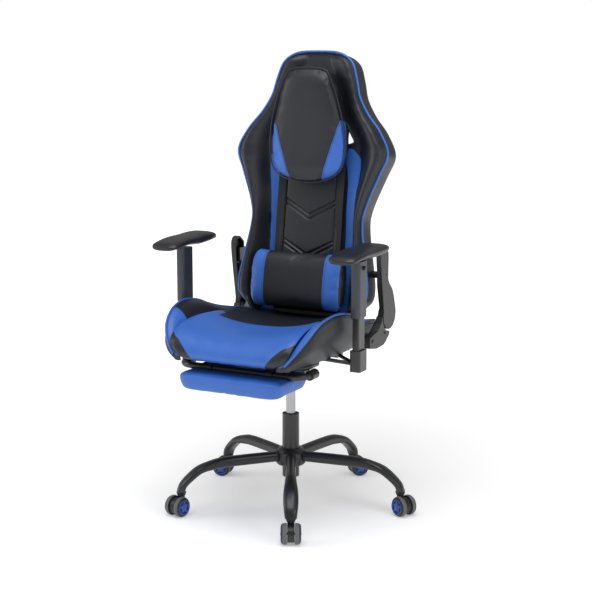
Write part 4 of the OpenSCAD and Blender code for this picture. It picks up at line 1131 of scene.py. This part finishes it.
# %% Lumbar pillow
LUMBAR_LOW, LUMBAR_HIGH, LUMBAR_HALF = -0.011, 0.168, 0.150
lumbar_rows = []
for x in smooth_curve([(-LUMBAR_HALF,), (-.130,), (-.07,), (0,), (.07,), (.130,), (LUMBAR_HALF,)], 7)[:, 0]:
    end = ease(LUMBAR_HALF - abs(x), -0.006, 0.016)
    middle_u, middle_v = (LUMBAR_LOW + LUMBAR_HIGH) / 2, -0.022
    half_u, half_v = (LUMBAR_HIGH - LUMBAR_LOW) / 2 * (0.72 + 0.28 * end) - 0.004, 0.031 * (0.60 + 0.40 * end)
    t = np.linspace(0, 2 * math.pi, 40, endpoint=False)
    u = middle_u + half_u * np.sign(np.sin(t)) * np.abs(np.sin(t)) ** 0.8
    v = middle_v - half_v * np.sign(np.cos(t)) * np.abs(np.cos(t)) ** 0.8
    lumbar_rows.append(on_back(x, v, u))
lumbar_points, lumbar_faces = skin(lumbar_rows)
lumbar_pad = make_object("lumbar_pad", lumbar_points, lumbar_faces, two_leathers)
swell(lumbar_pad, 0.004, 0.006, 3.0)
place = coords(lumbar_pad)
store(lumbar_pad, "panel", np.minimum(np.abs(place[:, 0]) - 0.096, 0.145 - np.abs(place[:, 0])))
add_levels(lumbar_pad)
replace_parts(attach(lumbar_pad, "lumbar_pillow"), "lumbar_pillow")
for side_name, sign in (("left", 1), ("right", -1)):
    for row_name, x in (("inner", 0.094), ("outer", 0.102)):
        line = [(sign * x, u) for u in np.linspace(LUMBAR_LOW + 0.012, LUMBAR_HIGH - 0.012, 50)]
        stitches(f"lumbar_seam_{row_name}_{side_name}", lay_on(lumbar_pad, line), thread_black,
                 "lumbar_pillow", 0.0056)
print("pillows:", len(head_pad.data.polygons), len(lumbar_pad.data.polygons), "faces")

# %% [markdown]
# ## Footrest pad and armrest pads
# The footrest pad is blue leather over a slab of foam, pulled round a board and stapled under it. The
# arm pads are moulded foam with a hard skin: thick over the post, thin and drooping at the front, and
# rounded everywhere a hand or an elbow can touch.

# %% Footrest pad
low, high = (np.array(c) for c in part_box("footrest_pad"))
middle, reach = (low + high) / 2, (high - low) / 2 - 0.003
foot_rows = []
for level, grow in ((-1.0, -0.004), (-0.8, 0.006), (-0.2, 0.009), (0.6, 0.013), (1.5, 0.014), (2.02, 0.012), (2.10, 0.004)):
    t = np.linspace(0, 2 * math.pi, 96, endpoint=False)
    square = 0.16
    x = (reach[0] + grow) * np.sign(np.cos(t)) * np.abs(np.cos(t)) ** (square * 1.6)
    y = (reach[1] + grow) * np.sign(np.sin(t)) * np.abs(np.sin(t)) ** (square * 1.6)
    foot_rows.append(np.stack([middle[0] + x, middle[1] + y, np.full_like(x, middle[2] + level * reach[2])], -1))
foot_points, foot_faces = skin(foot_rows)
foot_pad = make_object("foot_pad", foot_points, foot_faces, blue_leather)
swell(foot_pad, 0.003, 0.005, 2.5)
add_levels(foot_pad)
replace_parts(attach(foot_pad, "footrest_pad"), "footrest_pad")

# %% Arm pads
ARM_PROFILE = [  # distance along the pad, height of the top, thickness, half width
    (0.000, -0.0215, 0.012, 0.024), (0.006, -0.0180, 0.016, 0.035), (0.020, -0.0120, 0.021, 0.042),
    (0.060, -0.0060, 0.023, 0.0445), (0.100, -0.0030, 0.025, 0.0450), (0.150, -0.0020, 0.030, 0.0445),
    (0.180, -0.0004, 0.031, 0.0445), (0.220, -0.0006, 0.028, 0.0440), (0.242, -0.0036, 0.022, 0.040),
    (0.254, -0.0100, 0.017, 0.034), (0.260, -0.0160, 0.011, 0.022),
]
for side_name in ("left", "right"):
    low, high = (np.array(c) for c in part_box(f"arm_pad_{side_name}"))
    middle_x, length = (low[0] + high[0]) / 2, high[1] - low[1]
    pad_rows = []
    length *= 0.955
    for along, top, thick, half in smooth_curve(ARM_PROFILE, 5):
        t = np.linspace(0, 2 * math.pi, 40, endpoint=False)
        x = half * np.sign(np.cos(t)) * np.abs(np.cos(t)) ** 0.62
        z = thick / 2 * np.sign(np.sin(t)) * np.abs(np.sin(t)) ** 0.75
        pad_rows.append(np.stack([middle_x + x, np.full_like(x, low[1] + 0.006 + along / 0.260 * length),
                                  high[2] + top - thick / 2 + z], -1))
    pad_points, pad_faces = skin(pad_rows)
    pad = make_object(f"arm_top_{side_name}", pad_points, pad_faces, soft_pad)
    add_levels(pad)
    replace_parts(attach(pad, f"arm_{side_name}"), f"arm_pad_{side_name}")
print("arm pad length:", round(float(length), 3), "m")

# %% [markdown]
# ## Screws
# Small fasteners give a chair its scale. One screw head is built at the origin, and the
# *one at each point* tree sets a copy at every place, turned to face out of the part it holds.

# %% Screw heads on the hinge covers
head_rows = turned([(0.0004, 0.0006), (0.0018, 0.0006), (0.0020, 0.0022), (0.0034, 0.0024), (0.0044, 0.0014),
                    (0.0045, 0.0)], 20)
screw_points, screw_faces = skin(head_rows)
screw = make_object("screw_pattern", screw_points, screw_faces, bare_steel)
for side_name, sign in (("left", 1), ("right", -1)):
    edge = sign * max(abs(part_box(f"lower_cover_{side_name}")[0][0]), abs(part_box(f"lower_cover_{side_name}")[1][0]))
    at_points(f"cover_screws_{side_name}", screw, [(edge, 0.033, 0.511), (edge, 0.120, 0.520)],
              [(sign, 0, 0)] * 2, black_steel, "seat")
bpy.data.objects.remove(screw)
